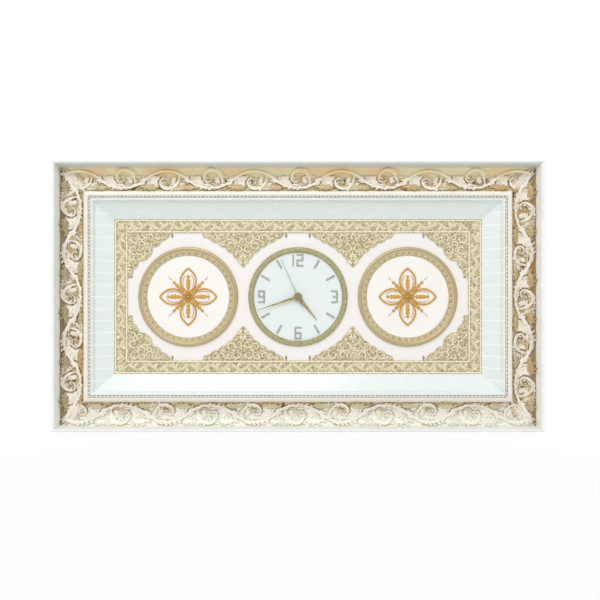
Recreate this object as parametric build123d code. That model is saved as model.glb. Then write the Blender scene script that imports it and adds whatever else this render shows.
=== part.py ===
from build123d import *
import os
from math import asin, atan2, cos, degrees, hypot, pi, radians, sin, sqrt, tan

# A wide wall clock in a carved and gilt picture frame, with a battery movement.
# Sizes are in millimetres. The clock is drawn lying on its back: x runs to the
# right, y up the clock and z away from the wall, with the hands' arbor at x = 0,
# y = 0 and the wall at z = 0. It is stood up and hung on its hangers on export.

# The panel is laid out round its three rings, and the frame follows outward from it:
# with the sizes below the clock is 1000 wide and 550 high
medallion_ring_outer = 105.5
ring_spacing = 21.0
ornament_margin = 25.5
field_top_margin = 3.9
field_side_overlap = 3.1
frame_depth = 70.0

# Outer moulding, with widths measured inward from its outer edge
back_bevel = 1.5
ridge_width = 4.5
ridge_round = 2.0
lip_foot = 8.0
cove_height = 50.0
cove_low_height = 38.0
cove_width = 49.0
fillet_rise = 4.5
fillet_width = 10.0
bead_step = 3.5
bead_ledge_width = 4.0
rabbet_ledge = 6.0
rabbet_lip = 4.0

# Scrolls carved along the cove, one in each bay, with margins kept to the cove's edges
scroll_bay = 91.0
stem_margin = 7.5
stem_width = 4.6
curl_margin = 3.5
curl_thickness = 5.5
curl_start = 25.5
curl_tip_along = 13.5
curl_tip_rise = 2.0
carving_rise = 3.6
carving_root = 1.0

# Bead strip on the ledge of the moulding
bead_width = 3.8
bead_height = 1.6
bead_side = 0.3

# Sloping slip inside the moulding
slip_gap = 0.3
slip_back = 14.0
crest_width = 4.8
crest_proud = 2.0
crest_rise = 1.5
slip_drop_width = 3.0
slip_drop_depth = 6.5
slip_width = 46.2
slip_toe = 2.0
slip_rabbet = 11.0
groove_pitch = 25.0
groove_width = 1.2
groove_depth = 0.6

# Face panel and what holds it from behind
panel_thickness = 4.0
panel_gap = 0.5
point_width = 12.0
point_thickness = 0.5
point_bite = 4.0
point_reach = 6.0
point_spacing = 250.0
point_side_spacing = 200.0

# V-shaped nails across the mitres
wedge_leg = 8.0
wedge_thickness = 0.8
wedge_depth = 9.0
wedge_places = (24.0, 46.0)

# Gilt border and ornaments on the panel
border_gap = 0.3
border_width = 28.0
border_thickness = 1.0
border_line_width = 1.8
border_line_rise = 0.8
ornament_thickness = 1.2
ornament_gap = 0.3
corner_end_along = 37.0
corner_end_side = 39.0
corner_cusps = (26.0, 35.5, 54.5, 64.0)
corner_depths = (4.0, 5.0, 13.0, 5.0, 4.0)
middle_start = 29.0
middle_tip_rise = 1.2
middle_depths = (4.0, 4.0, 4.0, 3.5, 2.8, 1.6)

# Medallions on both sides of the dial
medallion_ring_width = 19.0
medallion_band_width = 8.5
medallion_band_rise = 5.5
medallion_line_rise = 3.6
medallion_lip = 0.5
disc_overlap = 5.5
disc_thickness = 1.5
ring_gap = 0.3
ring_side = 2.5

# Leaf rosette on each medallion
rosette_thickness = 2.2
rosette_hub_radius = 11.0
loop_tip_radius = 62.0
loop_half_width = 19.0
loop_stroke = 4.5
bud_tip_radius = 46.0
bud_half_width = 5.5
leaf_tip_radius = 50.0
leaf_half_width = 5.0

# Dial, its ring, numerals and hour bars
clock_ring_outer = 105.0
clock_ring_width = 12.0
clock_ring_rise = 6.0
clock_ring_bevel = 3.5
dial_overlap = 5.0
numeral_height = 27.0
numeral_width = 15.0
numeral_stroke = 4.0
numeral_one_width = 3.2
numeral_spacing = 5.0
numeral_inset = 16.0
mark_thickness = 0.8
bar_length = 20.0
bar_width = 4.5
bar_inset = 3.6

# Hands
hand_thickness = 0.6
hand_level_gap = 1.2
hour_length = 64.0
hour_hand_width = 9.0
minute_length = 89.0
minute_hand_width = 6.0
second_length = 86.6
second_hand_width = 1.6
second_tail = 22.0
hour_hub_radius = 7.5
minute_hub_radius = 7.0
second_hub_radius = 8.5
hand_tip_width = 0.8
collet_radius = 1.6
show_hour = 4
show_minute = 41
show_second = 56

# Hanger plates on the back of the top rail
hanger_spacing = 600.0
hanger_inset = 32.5
hanger_length = 60.0
hanger_width = 26.0
hanger_thickness = 1.5
keyhole_radius = 5.0
keyhole_slot_width = 5.0
keyhole_slot_length = 9.0
hanger_rise = 4.0
pocket_depth = 10.0
pocket_clearance = 1.0
screw_head_radius = 3.0
screw_shank_radius = 1.4
screw_length = 12.0
screw_spacing = 44.0

# Movement case
wall_gap = 4.0
movement_depth = 16.0
movement_wall = 1.5
movement_corner = 3.0
cover_depth = 6.0
tongue_length = 8.0
tongue_thickness = 1.0
tongue_height = 3.0
tongue_gap = 0.1
tongue_places = (-6.0, 16.0)
partition_wall = 1.2
bush_radius = 4.0
bush_bore = 2.55
bush_clearance = 0.2
washer_radius = 7.0
washer_thickness = 0.5
nut_flats = 12.0
nut_height = 2.3
bush_proud = 0.5

# Battery and its contacts
battery_radius = 7.25
battery_length = 49.5
battery_nub_radius = 2.75
battery_nub_length = 1.0
battery_edge = 0.6
battery_gap = 0.3
contact_thickness = 0.4
contact_width = 8.0
contact_height = 9.0
spring_reach = 1.6
spring_gap = 0.2

# Gear train: teeth, modules in mm and thicknesses
rotor_leaves = 6
intermediate_teeth = 36
intermediate_leaves = 8
second_teeth = 40
second_leaves = 6
third_teeth = 48
third_leaves = 6
centre_teeth = 45
cannon_teeth = 10
motion_teeth = 30
motion_leaves = 8
hour_teeth = 32
rotor_module = 0.31
second_module = 0.39
third_module = 0.34
motion_module = 0.48
addendum = 0.80
dedendum = 1.25
tooth_share = 0.38
flank_slope = 24.0
widest_root = 0.9
wheel_thickness = 0.7
wheel_gap = 0.8
leaf_overhang = 0.3
third_direction = 150.0
intermediate_direction = 30.0
rotor_direction = 60.0
motion_direction = 90.0
knob_direction = 120.0

# Arbors, tubes and their bearings
running_fit = 0.08
arbor_radius = 0.45
pivot_radius = 0.3
pivot_length = 0.8
boss_radius = 0.85
second_arbor_radius = 0.5
centre_tube_radius = 1.6
hour_tube_radius = 2.4
motion_stud_radius = 0.7
rear_boss_height = 1.4
end_shake = 0.1
tube_proud = 0.3

# Rotor, stator, coil and board
magnet_radius = 2.4
magnet_length = 2.4
stator_gap = 0.5
stator_thickness = 0.8
stator_width = 20.0
stator_arm_width = 3.6
stator_left = 3.0
stator_bottom = 6.4
stator_foot_height = 8.4
coil_height = 22.4
coil_radius = 3.4
coil_cheek_radius = 3.9
coil_cheek = 1.0
coil_length = 12.0
core_width = 2.0
board_length = 11.0
board_width = 11.0
board_thickness = 1.0
board_x = -18.5
board_y = 19.0
board_level = 8.5
board_post_radius = 1.2
crystal_radius = 1.0
crystal_length = 6.0

# Setting knob
knob_radius = 5.5
knob_thickness = 1.8
knob_arbor_radius = 1.0
knob_clearance = 0.2
knob_grips = 8
knob_grip_depth = 0.8

# Layout that follows from the rings outward to the frame
medallion_ring_inner = medallion_ring_outer - medallion_ring_width
medallion_disc_radius = medallion_ring_inner + disc_overlap
medallion_spacing = 2 * medallion_ring_outer + ring_spacing
ornament_radius = medallion_ring_outer + ornament_margin
ornament_half_width = medallion_spacing + ornament_radius - field_side_overlap
ornament_half_height = ornament_radius + field_top_margin
moulding_width = lip_foot + cove_width + fillet_width + bead_ledge_width
slip_outer = moulding_width - rabbet_ledge + slip_gap
slip_shoulder = moulding_width + slip_gap
slip_drop = slip_shoulder + crest_width
slope_start = slip_drop + slip_drop_width
slip_inner = slip_outer + slip_width
slip_rabbet_wall = slip_inner - slip_rabbet
surround = slip_inner + border_gap + border_width + ornament_gap
frame_width = 2 * (ornament_half_width + surround)
frame_height = 2 * (ornament_half_height + surround)
clock_ring_inner = clock_ring_outer - clock_ring_width
dial_radius = clock_ring_inner + dial_overlap
numeral_radius = clock_ring_inner - numeral_inset
bar_inner_radius = clock_ring_inner - bar_inset - bar_length

# Round of the cove, and the arc on which the carved stem swings from side to side
cove_middle = lip_foot + cove_width / 2
cove_sag = cove_height - cove_low_height
cove_radius = (cove_width**2 / 4 + cove_sag**2) / (2 * cove_sag)
stem_swing = cove_width / 2 - stem_margin
stem_radius = (scroll_bay**2 / 4 + stem_swing**2) / (2 * stem_swing)

# Heights above the wall that follow from the sizes above
panel_back = wall_gap + movement_depth
panel_front = panel_back + panel_thickness
disc_top = panel_front + disc_thickness
case_inner = panel_back - movement_wall
cover_inner = wall_gap + movement_wall
case_split = wall_gap + cover_depth
washer_top = disc_top + washer_thickness
nut_top = washer_top + nut_height
bush_top = nut_top + bush_proud
hour_level = bush_top + hand_level_gap / 2
minute_level = hour_level + hand_thickness + hand_level_gap
second_level = minute_level + hand_thickness + hand_level_gap
bead_ledge_height = cove_height
rabbet_height = bead_ledge_height - rabbet_lip
crest_height = bead_ledge_height + crest_proud
slope_top = crest_height - crest_rise - slip_drop_depth
slope_bottom = panel_front + slip_toe

# Heights of the wheels in the movement, from the front wall backward
hour_wheel_top = case_inner - wheel_gap / 2
hour_wheel_bottom = hour_wheel_top - wheel_thickness
motion_wheel_top = hour_wheel_bottom - wheel_gap
motion_wheel_bottom = motion_wheel_top - wheel_thickness
centre_wheel_top = motion_wheel_bottom - wheel_gap
centre_wheel_bottom = centre_wheel_top - wheel_thickness
third_wheel_top = centre_wheel_bottom - 2 * wheel_gap
third_wheel_bottom = third_wheel_top - wheel_thickness
second_wheel_top = third_wheel_bottom - 2 * wheel_gap
second_wheel_bottom = second_wheel_top - wheel_thickness
intermediate_wheel_top = second_wheel_bottom - 2 * wheel_gap
intermediate_wheel_bottom = intermediate_wheel_top - wheel_thickness
rear_bearing = cover_inner + rear_boss_height
stator_bottom_level = second_wheel_top + leaf_overhang + wheel_gap / 2
stator_top_level = stator_bottom_level + stator_thickness
magnet_bottom = stator_bottom_level + stator_thickness / 2 - magnet_length / 2

# Centre distances and the modules that they fix
third_distance = third_module * (second_leaves + third_teeth) / 2
centre_module = 2 * third_distance / (third_leaves + centre_teeth)
intermediate_distance = second_module * (intermediate_leaves + second_teeth) / 2
rotor_distance = rotor_module * (rotor_leaves + intermediate_teeth) / 2
motion_distance = motion_module * (cannon_teeth + motion_teeth) / 2
hour_module = 2 * motion_distance / (motion_leaves + hour_teeth)

# Hands at the shown time, in degrees clockwise from twelve
second_angle = show_second * 6
minute_angle = show_minute * 6 + show_second * 0.1
hour_angle = show_hour * 30 + show_minute * 0.5 + show_second / 120


def polar(radius, angle, centre=(0, 0)):
    """The point at a radius and an angle in degrees about a centre."""
    return (centre[0] + radius * cos(radians(angle)), centre[1] + radius * sin(radians(angle)))


# Where the arbors stand, each one centre distance away from the one that it meshes with
third_arbor = polar(third_distance, third_direction)
intermediate_arbor = polar(intermediate_distance, intermediate_direction)
rotor_arbor = polar(rotor_distance, rotor_direction, intermediate_arbor)
motion_arbor = polar(motion_distance, motion_direction)
knob_arbor = polar(motion_distance, knob_direction, motion_arbor)

parts = {}


def prism(face, bottom, top):
    """A straight solid over a flat outline, from one height to another."""
    return Pos(0, 0, bottom) * extrude(face, amount=top - bottom, dir=(0, 0, 1))


def plate(points, bottom, top):
    """A straight solid over a polygon, from one height to another."""
    return prism(Polygon(*points, align=None), bottom, top)


def block(left, right, low, high, bottom, top):
    """A rectangular solid between three pairs of limits."""
    return plate([(left, low), (right, low), (right, high), (left, high)], bottom, top)


def pillar(radius, bottom, top, place=(0, 0)):
    """A round solid standing at a place."""
    return Pos(place[0], place[1], bottom) * extrude(Circle(radius), amount=top - bottom)


def pipe(outer, inner, bottom, top, place=(0, 0)):
    """A round solid with a bore."""
    return Pos(place[0], place[1], bottom) * extrude(Circle(outer) - Circle(inner), amount=top - bottom)


def group(solids):
    """Separate solids kept in one node."""
    return Compound([piece for solid in solids for piece in solid.solids()])


# The four rails of a rectangular frame, with the turn that takes each from the bottom side
sides = {"bottom": 0, "right": 90, "top": 180, "left": 270}


def side_lengths(side):
    """Length of a side of the frame, and the frame's size across that side."""
    upright = side in ("left", "right")
    return (frame_height, frame_width) if upright else (frame_width, frame_height)


def on_side(side, solid):
    """Move a solid that was drawn on the bottom rail to another side."""
    return Rot(0, 0, sides[side]) * solid


def mitred_rail(section, side):
    """A bar of the given section with mitred ends.

    The section is drawn with its first coordinate inward from the frame's
    outer edge, and its second one up from the wall.
    """
    length, across = side_lengths(side)
    start = Plane(origin=(-length / 2, -across / 2, 0), x_dir=(0, 1, 0), z_dir=(1, 0, 0))
    bar = extrude(start * section, amount=length)
    run = min(length, across) / 2 - 1
    corner = [
        (-length / 2, -across / 2),
        (length / 2, -across / 2),
        (length / 2 - run, -across / 2 + run),
        (-length / 2 + run, -across / 2 + run),
    ]
    return on_side(side, bar & plate(corner, -1, frame_depth + 1))


def moulding_section():
    """Outer moulding: ridge, steep lip, hollow cove, fillet, bead ledge and rabbet."""
    rabbet_wall = moulding_width - rabbet_ledge
    fillet_end = moulding_width - bead_ledge_width
    cove_end = lip_foot + cove_width
    lip_top = ridge_width + ridge_round / 2
    edges = [
        Polyline(
            (0, frame_depth - ridge_round),
            (0, back_bevel),
            (back_bevel, 0),
            (rabbet_wall, 0),
            (rabbet_wall, rabbet_height),
            (moulding_width, rabbet_height),
            (moulding_width, bead_ledge_height),
            (fillet_end, bead_ledge_height),
            (fillet_end, bead_ledge_height + bead_step),
        ),
        ThreePointArc(
            (fillet_end, bead_ledge_height + bead_step),
            (cove_end + fillet_width / 2, cove_height + fillet_rise),
            (cove_end, cove_height),
        ),
        ThreePointArc(
            (cove_end, cove_height),
            (lip_foot + cove_width / 2, cove_low_height),
            (lip_foot, cove_height),
        ),
        Line((lip_foot, cove_height), (lip_top, frame_depth - ridge_round)),
        ThreePointArc(
            (lip_top, frame_depth - ridge_round),
            (lip_top / 2, frame_depth),
            (0, frame_depth - ridge_round),
        ),
    ]
    return make_face(edges)


def stem_band():
    """One bay of the running stem, drawn about the middle of the bay, swinging toward the lip."""
    half_turn = degrees(asin(scroll_bay / 2 / stem_radius))
    centre = (0, stem_radius - stem_swing)
    near, far = [
        [polar(stem_radius + offset, 270 + turn, centre) for turn in (-half_turn, 0, half_turn)]
        for offset in (stem_width / 2, -stem_width / 2)
    ]
    return make_face([
        ThreePointArc(*near),
        Line(near[2], far[2]),
        ThreePointArc(*far[::-1]),
        Line(far[0], near[0]),
    ])


def curled_leaf():
    """A leaf that springs from the stem and curls over in the hollow of its bay."""
    start = (-curl_start, stem_radius - stem_swing - sqrt(stem_radius**2 - curl_start**2))
    tip = (curl_tip_along, curl_tip_rise)
    crest = cove_width / 2 - curl_margin
    return make_face([
        ThreePointArc(start, (0, crest), tip),
        ThreePointArc(tip, (0, crest - curl_thickness), start),
    ])


def carved_scrolls(side):
    """Running scrollwork along one side, raised off the cove and following its round.

    An odd number of bays fits between the mitres, and every other one is turned over.
    """
    length, across = side_lengths(side)
    reach = length / 2 - cove_middle
    neighbours = int(reach / scroll_bay - 0.5)
    scroll = stem_band() + curled_leaf()
    turned = mirror(scroll, about=Plane.XZ)
    outline = Sketch()
    for bay in range(-neighbours, neighbours + 1):
        outline += Pos(bay * scroll_bay, cove_middle - across / 2, 0) * (scroll if bay % 2 else turned)
    carving = prism(outline, cove_low_height - carving_root, cove_height)
    axis = (-length / 2, cove_middle - across / 2, cove_low_height + cove_radius)
    hollow = Plane(origin=axis, x_dir=(0, 1, 0), z_dir=(1, 0, 0)) * Circle(cove_radius - carving_rise)
    return on_side(side, carving - extrude(hollow, amount=length))


def bead_section():
    """Half-round bead strip on the ledge."""
    middle = moulding_width - bead_ledge_width / 2
    left, right = middle - bead_width / 2, middle + bead_width / 2
    shoulder = bead_ledge_height + bead_side
    edges = [
        Polyline((left, shoulder), (left, bead_ledge_height), (right, bead_ledge_height), (right, shoulder)),
        ThreePointArc((right, shoulder), (middle, bead_ledge_height + bead_height), (left, shoulder)),
    ]
    return make_face(edges)


def slip_section():
    """Slip: rounded crest inside the moulding, then a long slope down to the panel."""
    crest_foot = crest_height - crest_rise
    edges = [
        Polyline(
            (slip_shoulder, crest_foot),
            (slip_shoulder, rabbet_height),
            (slip_outer, rabbet_height),
            (slip_outer, slip_back),
            (slip_rabbet_wall, slip_back),
            (slip_rabbet_wall, panel_front),
            (slip_inner, panel_front),
            (slip_inner, slope_bottom),
            (slope_start, slope_top),
            (slip_drop, crest_foot),
        ),
        ThreePointArc(
            (slip_drop, crest_foot),
            ((slip_shoulder + slip_drop) / 2, crest_height),
            (slip_shoulder, crest_foot),
        ),
    ]
    return make_face(edges)


def groove_cutters(side):
    """V-shaped cutters across the slope, evenly spaced from the middle of a side."""
    length, across = side_lengths(side)
    run = slip_inner - slope_start
    fall = slope_top - slope_bottom
    slant = hypot(run, fall)
    half = length / 2 - slope_start - groove_pitch
    count = int(half // groove_pitch)
    notch = Polygon(
        (-groove_width / 2, 0), (0, -groove_depth), (groove_width / 2, 0), (0, groove_depth), align=None
    )
    top = (0, -across / 2 + slope_start, slope_top)
    down = Plane(origin=top, x_dir=(1, 0, 0), z_dir=(0, run / slant, -fall / slant))
    cutters = []
    for i in range(-count, count + 1):
        x = i * groove_pitch
        # Near a mitre the groove stops at the mitre line
        reach = min(slip_inner, length / 2 - abs(x)) - slope_start
        cutter = extrude(down * notch, amount=slant * reach / run)
        cutters.append(on_side(side, Pos(x, 0, 0) * cutter))
    return cutters


def point_places(side):
    """Where the holding points stand along one side."""
    if side in ("left", "right"):
        return (-point_side_spacing / 2, point_side_spacing / 2)
    return (-1.5 * point_spacing, -0.5 * point_spacing, 0.5 * point_spacing, 1.5 * point_spacing)


def points_along(side, wall, reach, top):
    """Thin steel points driven into a wall and lying behind the next piece."""
    across = side_lengths(side)[1]
    low = -across / 2 + wall - point_bite
    high = -across / 2 + wall + reach
    found = []
    for x in point_places(side):
        tab = block(x - point_width / 2, x + point_width / 2, low, high, top - point_thickness, top)
        found.append(on_side(side, tab))
    return found


def slip_points(side):
    """Points in the moulding that hold the slip."""
    return points_along(side, moulding_width - rabbet_ledge, point_reach, slip_back)


def panel_points(side):
    """Points in the slip that hold the panel."""
    return points_along(side, slip_rabbet_wall, point_reach, panel_back)


def mitre_wedges():
    """V-shaped nails, two across each mitre, flush with the back."""
    leg, thick = wedge_leg, wedge_thickness
    outline = [(0, 0), (leg, 0), (leg, thick), (thick, thick), (thick, leg), (0, leg)]
    wedge = plate(outline, 0, wedge_depth)
    wedges = []
    for place in wedge_places:
        corner = Pos(-frame_width / 2 + place, -frame_height / 2 + place, 0) * wedge
        wedges += [corner, mirror(corner, about=Plane.YZ)]
    return wedges + [mirror(wedge, about=Plane.XZ) for wedge in wedges]


def hanger_places():
    """Centres of the two keyholes."""
    y = frame_height / 2 - hanger_inset
    return [(-hanger_spacing / 2, y), (hanger_spacing / 2, y)]


def screw_places():
    """Centres of the screws, beside each keyhole."""
    return [(x + turn * screw_spacing / 2, y) for x, y in hanger_places() for turn in (-1, 1)]


def hanger_screw(place):
    """A small countersunk wood screw, driven in from the back."""
    head, shank = screw_head_radius, screw_shank_radius
    outline = [(0, 0), (head, 0), (shank, head - shank), (shank, screw_length), (0, screw_length)]
    face = Plane.XZ * Polygon(*outline, align=None)
    return Pos(place[0], place[1], 0) * revolve(face, axis=Axis.Z)


def hanger_blank(place):
    """The outline of a hanger plate as a solid."""
    x, y = place
    middle = y + hanger_rise
    half_length, half_width = hanger_length / 2, hanger_width / 2
    return block(x - half_length, x + half_length, middle - half_width, middle + half_width, 0, hanger_thickness)


def hanger_plate(place):
    """A flat steel plate with a keyhole: a round hole with a narrower slot above it."""
    half = keyhole_slot_width / 2
    shoulder = sqrt(keyhole_radius**2 - half**2)
    end = keyhole_slot_length
    edges = [
        Line((half, shoulder), (half, end)),
        ThreePointArc((half, end), (0, end + half), (-half, end)),
        Line((-half, end), (-half, shoulder)),
        ThreePointArc((-half, shoulder), (0, -keyhole_radius), (half, shoulder)),
    ]
    keyhole = Pos(place[0], place[1], 0) * make_face(edges)
    return hanger_blank(place) - prism(keyhole, -1, hanger_thickness + 1)


def hanger_cut(place):
    """The recess for a hanger plate, and the pocket for the head of the wall screw."""
    x, y = place
    half = keyhole_radius + pocket_clearance
    bottom = hanger_thickness
    pocket = block(x - half, x + half, y - half, y + keyhole_slot_length + half, bottom, bottom + pocket_depth)
    return hanger_blank(place) + pocket


def build_frame():
    """Outer moulding with its carving, bead strips, mitre wedges and hangers."""
    wedges = mitre_wedges()
    screws = [hanger_screw(place) for place in screw_places()]
    section = moulding_section()
    for side in sides:
        rail = mitred_rail(section, side)
        rail += carved_scrolls(side)
        rail -= wedges
        rail -= slip_points(side)
        if side == "top":
            rail -= [hanger_cut(place) for place in hanger_places()]
            rail -= screws
        parts[f"frame_rail_{side}"] = rail
    parts["bead_strips"] = group([mitred_rail(bead_section(), side) for side in sides])
    parts["mitre_wedges"] = group(wedges)
    plates = [hanger_plate(place) - screws for place in hanger_places()]
    parts["hanger_plates"] = group(plates)
    parts["hanger_screws"] = group(screws)


def build_slip():
    """Sloping slip in four mitred rails, grooved on the upright ones, and the points that hold it."""
    for side in sides:
        rail = mitred_rail(slip_section(), side)
        if side in ("left", "right"):
            rail -= groove_cutters(side)
        rail -= panel_points(side)
        parts[f"slip_rail_{side}"] = rail
    parts["slip_points"] = group([point for side in sides for point in slip_points(side)])


def build_panel():
    """White panel that carries the dial, the medallions and the gilt work."""
    half_width = frame_width / 2 - slip_rabbet_wall - panel_gap
    half_height = frame_height / 2 - slip_rabbet_wall - panel_gap
    panel = block(-half_width, half_width, -half_height, half_height, panel_back, panel_front)
    panel -= pillar(bush_radius + bush_clearance, panel_back - 1, panel_front + 1)
    parts["face_panel"] = panel
    parts["panel_points"] = group([point for side in sides for point in panel_points(side)])


def border_section():
    """Flat gilt band with a raised line along both edges."""
    start = slip_inner + border_gap
    end = start + border_width
    low = panel_front + border_thickness
    high = low + border_line_rise
    return Polygon(
        (start, panel_front), (end, panel_front), (end, high), (end - border_line_width, high),
        (end - border_line_width, low), (start + border_line_width, low),
        (start + border_line_width, high), (start, high), align=None,
    )


def scallops(stops, depths):
    """Arcs end to end through stops (angle, radius), each bulging toward the centre."""
    arcs = []
    for (angle, radius), (next_angle, next_radius), depth in zip(stops, stops[1:], depths):
        middle = polar((radius + next_radius) / 2 - depth, (angle + next_angle) / 2)
        arcs.append(ThreePointArc(polar(radius, angle), middle, polar(next_radius, next_angle)))
    return arcs


def corner_ornament():
    """Ornament for the upper left corner, with a scalloped edge round the medallion."""
    side_x = medallion_spacing - ornament_half_width
    top_y = ornament_half_height
    first = (side_x, corner_end_side)
    last = (-corner_end_along, top_y)
    stops = [(180 - degrees(atan2(first[1], -first[0])), hypot(*first))]
    stops += [(180 - angle, ornament_radius) for angle in corner_cusps]
    stops += [(degrees(atan2(last[1], last[0])), hypot(*last))]
    edges = scallops(stops, corner_depths)
    edges.append(Polyline(last, (side_x, top_y), first))
    return Pos(-medallion_spacing, 0, 0) * prism(make_face(edges), panel_front, panel_front + ornament_thickness)


def middle_ornament():
    """Pointed ornament that hangs from the top border between the left medallion and the dial."""
    half_spacing = medallion_spacing / 2
    first = (middle_start, ornament_half_height)
    tip = (half_spacing, sqrt(ornament_radius**2 - half_spacing**2) + middle_tip_rise)
    first_angle = degrees(atan2(first[1], first[0]))
    tip_angle = degrees(atan2(tip[1], tip[0]))
    lobes = len(middle_depths)
    step = (tip_angle - first_angle) / lobes
    stops = [(first_angle, hypot(*first))]
    stops += [(first_angle + step * lobe, ornament_radius) for lobe in range(1, lobes)]
    stops += [(tip_angle, hypot(*tip))]
    left_edges = scallops(stops, middle_depths)
    edges = left_edges + [mirror(edge, about=Plane(tip, z_dir=(1, 0, 0))) for edge in left_edges]
    edges.append(Line(first, (2 * half_spacing - middle_start, ornament_half_height)))
    return Pos(-medallion_spacing, 0, 0) * prism(make_face(edges), panel_front, panel_front + ornament_thickness)


def build_gilt_work():
    """Border strips, corner ornaments and middle ornaments."""
    for side in sides:
        parts[f"border_{side}"] = mitred_rail(border_section(), side)
    corner = corner_ornament()
    middle = middle_ornament()
    for across, mirror_x in (("left", False), ("right", True)):
        for height, mirror_y in (("upper", False), ("lower", True)):
            for name, solid in (("corner", corner), ("middle", middle)):
                if mirror_x:
                    solid = mirror(solid, about=Plane.YZ)
                if mirror_y:
                    solid = mirror(solid, about=Plane.XZ)
                parts[f"{name}_ornament_{height}_{across}"] = solid


def medallion_ring():
    """Ring seated over its disc: a raised round band outside, and a band that slopes inward."""
    outer, inner = medallion_ring_outer, medallion_ring_inner
    seat = medallion_disc_radius + ring_gap
    shoulder = panel_front + ring_side
    band_end = outer - medallion_band_width
    line_top = panel_front + medallion_line_rise
    edges = [
        Polyline(
            (band_end, line_top), (inner, disc_top + medallion_lip), (inner, disc_top),
            (seat, disc_top), (seat, panel_front), (outer, panel_front), (outer, shoulder),
        ),
        ThreePointArc(
            (outer, shoulder),
            ((outer + band_end) / 2, panel_front + medallion_band_rise),
            (band_end, line_top),
        ),
    ]
    return revolve(Plane.XZ * make_face(edges), axis=Axis.Z)


def clock_ring():
    """Bevelled ring seated over the rim of the dial."""
    outer, inner = clock_ring_outer, clock_ring_inner
    seat = dial_radius + ring_gap
    shoulder = panel_front + ring_side
    top = panel_front + clock_ring_rise
    section = Polygon(
        (inner, shoulder), (inner, disc_top), (seat, disc_top), (seat, panel_front), (outer, panel_front),
        (outer, shoulder), (outer - clock_ring_bevel, top), (inner + clock_ring_bevel, top), align=None,
    )
    return revolve(Plane.XZ * section, axis=Axis.Z)


def leaf(base, tip, half_width):
    """Outline of a pointed leaf that stands on the y axis."""
    middle = (base + tip) / 2
    return make_face([
        ThreePointArc((0, base), (half_width, middle), (0, tip)),
        ThreePointArc((0, tip), (-half_width, middle), (0, base)),
    ])


def rosette():
    """Four open leaf loops with a bud in each, and four small leaves between them."""
    inner_loop = leaf(loop_stroke, loop_tip_radius - 2 * loop_stroke, loop_half_width - loop_stroke)
    loop = leaf(0, loop_tip_radius, loop_half_width) - inner_loop
    bud = leaf(0, bud_tip_radius, bud_half_width)
    small_leaf = leaf(0, leaf_tip_radius, leaf_half_width)
    outline = Sketch() + Circle(rosette_hub_radius)
    for quarter in range(4):
        outline += Rot(0, 0, 90 * quarter) * loop
        outline += Rot(0, 0, 90 * quarter) * bud
        outline += Rot(0, 0, 90 * quarter + 45) * small_leaf
    return prism(outline, disc_top, disc_top + rosette_thickness)


def build_medallions():
    """Two ringed medallions with a leaf rosette each."""
    for name, x in (("left", -medallion_spacing), ("right", medallion_spacing)):
        parts[f"medallion_ring_{name}"] = Pos(x, 0, 0) * medallion_ring()
        parts[f"medallion_disc_{name}"] = Pos(x, 0, 0) * pillar(medallion_disc_radius, panel_front, disc_top)
        parts[f"rosette_{name}"] = Pos(x, 0, 0) * rosette()


def numeral_path(figure):
    """Centre line of a squared figure, drawn about its middle."""
    half_width = (numeral_width - numeral_stroke) / 2
    half_height = (numeral_height - numeral_stroke) / 2
    left, right, low, high = -half_width, half_width, -half_height, half_height
    paths = {
        "2": [(left, high), (right, high), (right, 0), (left, 0), (left, low), (right, low)],
        "3": [(left, high), (right, high), (right, low), (left, low)],
        "6": [(right, high), (left, high), (left, low), (right, low), (right, 0), (left, 0)],
        "9": [(right, 0), (left, 0), (left, high), (right, high), (right, low), (left, low)],
    }
    return paths[figure]


def numeral(figure):
    """A squared figure as a flat outline, built from bars along its centre line."""
    path = numeral_path(figure)
    half = numeral_stroke / 2
    outline = Sketch()
    strokes = list(zip(path, path[1:]))
    if figure == "3":
        strokes.append(((path[0][0] + numeral_stroke, 0), (path[1][0], 0)))
    for (x0, y0), (x1, y1) in strokes:
        left, right = min(x0, x1) - half, max(x0, x1) + half
        low, high = min(y0, y1) - half, max(y0, y1) + half
        outline += Polygon((left, low), (right, low), (right, high), (left, high), align=None)
    return outline


def dial_numerals():
    """Numerals 12, 3, 6 and 9."""
    top = disc_top + mark_thickness
    twelve_width = numeral_one_width + numeral_spacing + numeral_width
    one = Rectangle(numeral_one_width, numeral_height)
    one_x = -twelve_width / 2 + numeral_one_width / 2
    two_x = twelve_width / 2 - numeral_width / 2
    return [
        prism(Pos(one_x, numeral_radius, 0) * one, disc_top, top),
        prism(Pos(two_x, numeral_radius, 0) * numeral("2"), disc_top, top),
        prism(Pos(numeral_radius, 0, 0) * numeral("3"), disc_top, top),
        prism(Pos(0, -numeral_radius, 0) * numeral("6"), disc_top, top),
        prism(Pos(-numeral_radius, 0, 0) * numeral("9"), disc_top, top),
    ]


def hour_bars():
    """Plain bars at the hours that have no numeral."""
    bar = block(
        bar_inner_radius, bar_inner_radius + bar_length, -bar_width / 2, bar_width / 2,
        disc_top, disc_top + mark_thickness,
    )
    return [Rot(0, 0, 30 * hour) * bar for hour in range(12) if hour % 3]


def build_dial():
    """Dial disc, ring, numerals and hour bars."""
    parts["dial"] = pipe(dial_radius, bush_radius + bush_clearance, panel_front, disc_top)
    parts["clock_ring"] = clock_ring()
    parts["dial_numerals"] = group(dial_numerals())
    parts["hour_bars"] = group(hour_bars())


def tapered_hand(length, width, hub_radius, bore, level):
    """A flat hand that points up the clock: round hub, then a long taper to a narrow tip."""
    blade = Polygon(
        (-width / 2, 0), (width / 2, 0), (hand_tip_width / 2, length), (-hand_tip_width / 2, length), align=None
    )
    return prism(blade + Circle(hub_radius) - Circle(bore), level, level + hand_thickness)


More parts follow.
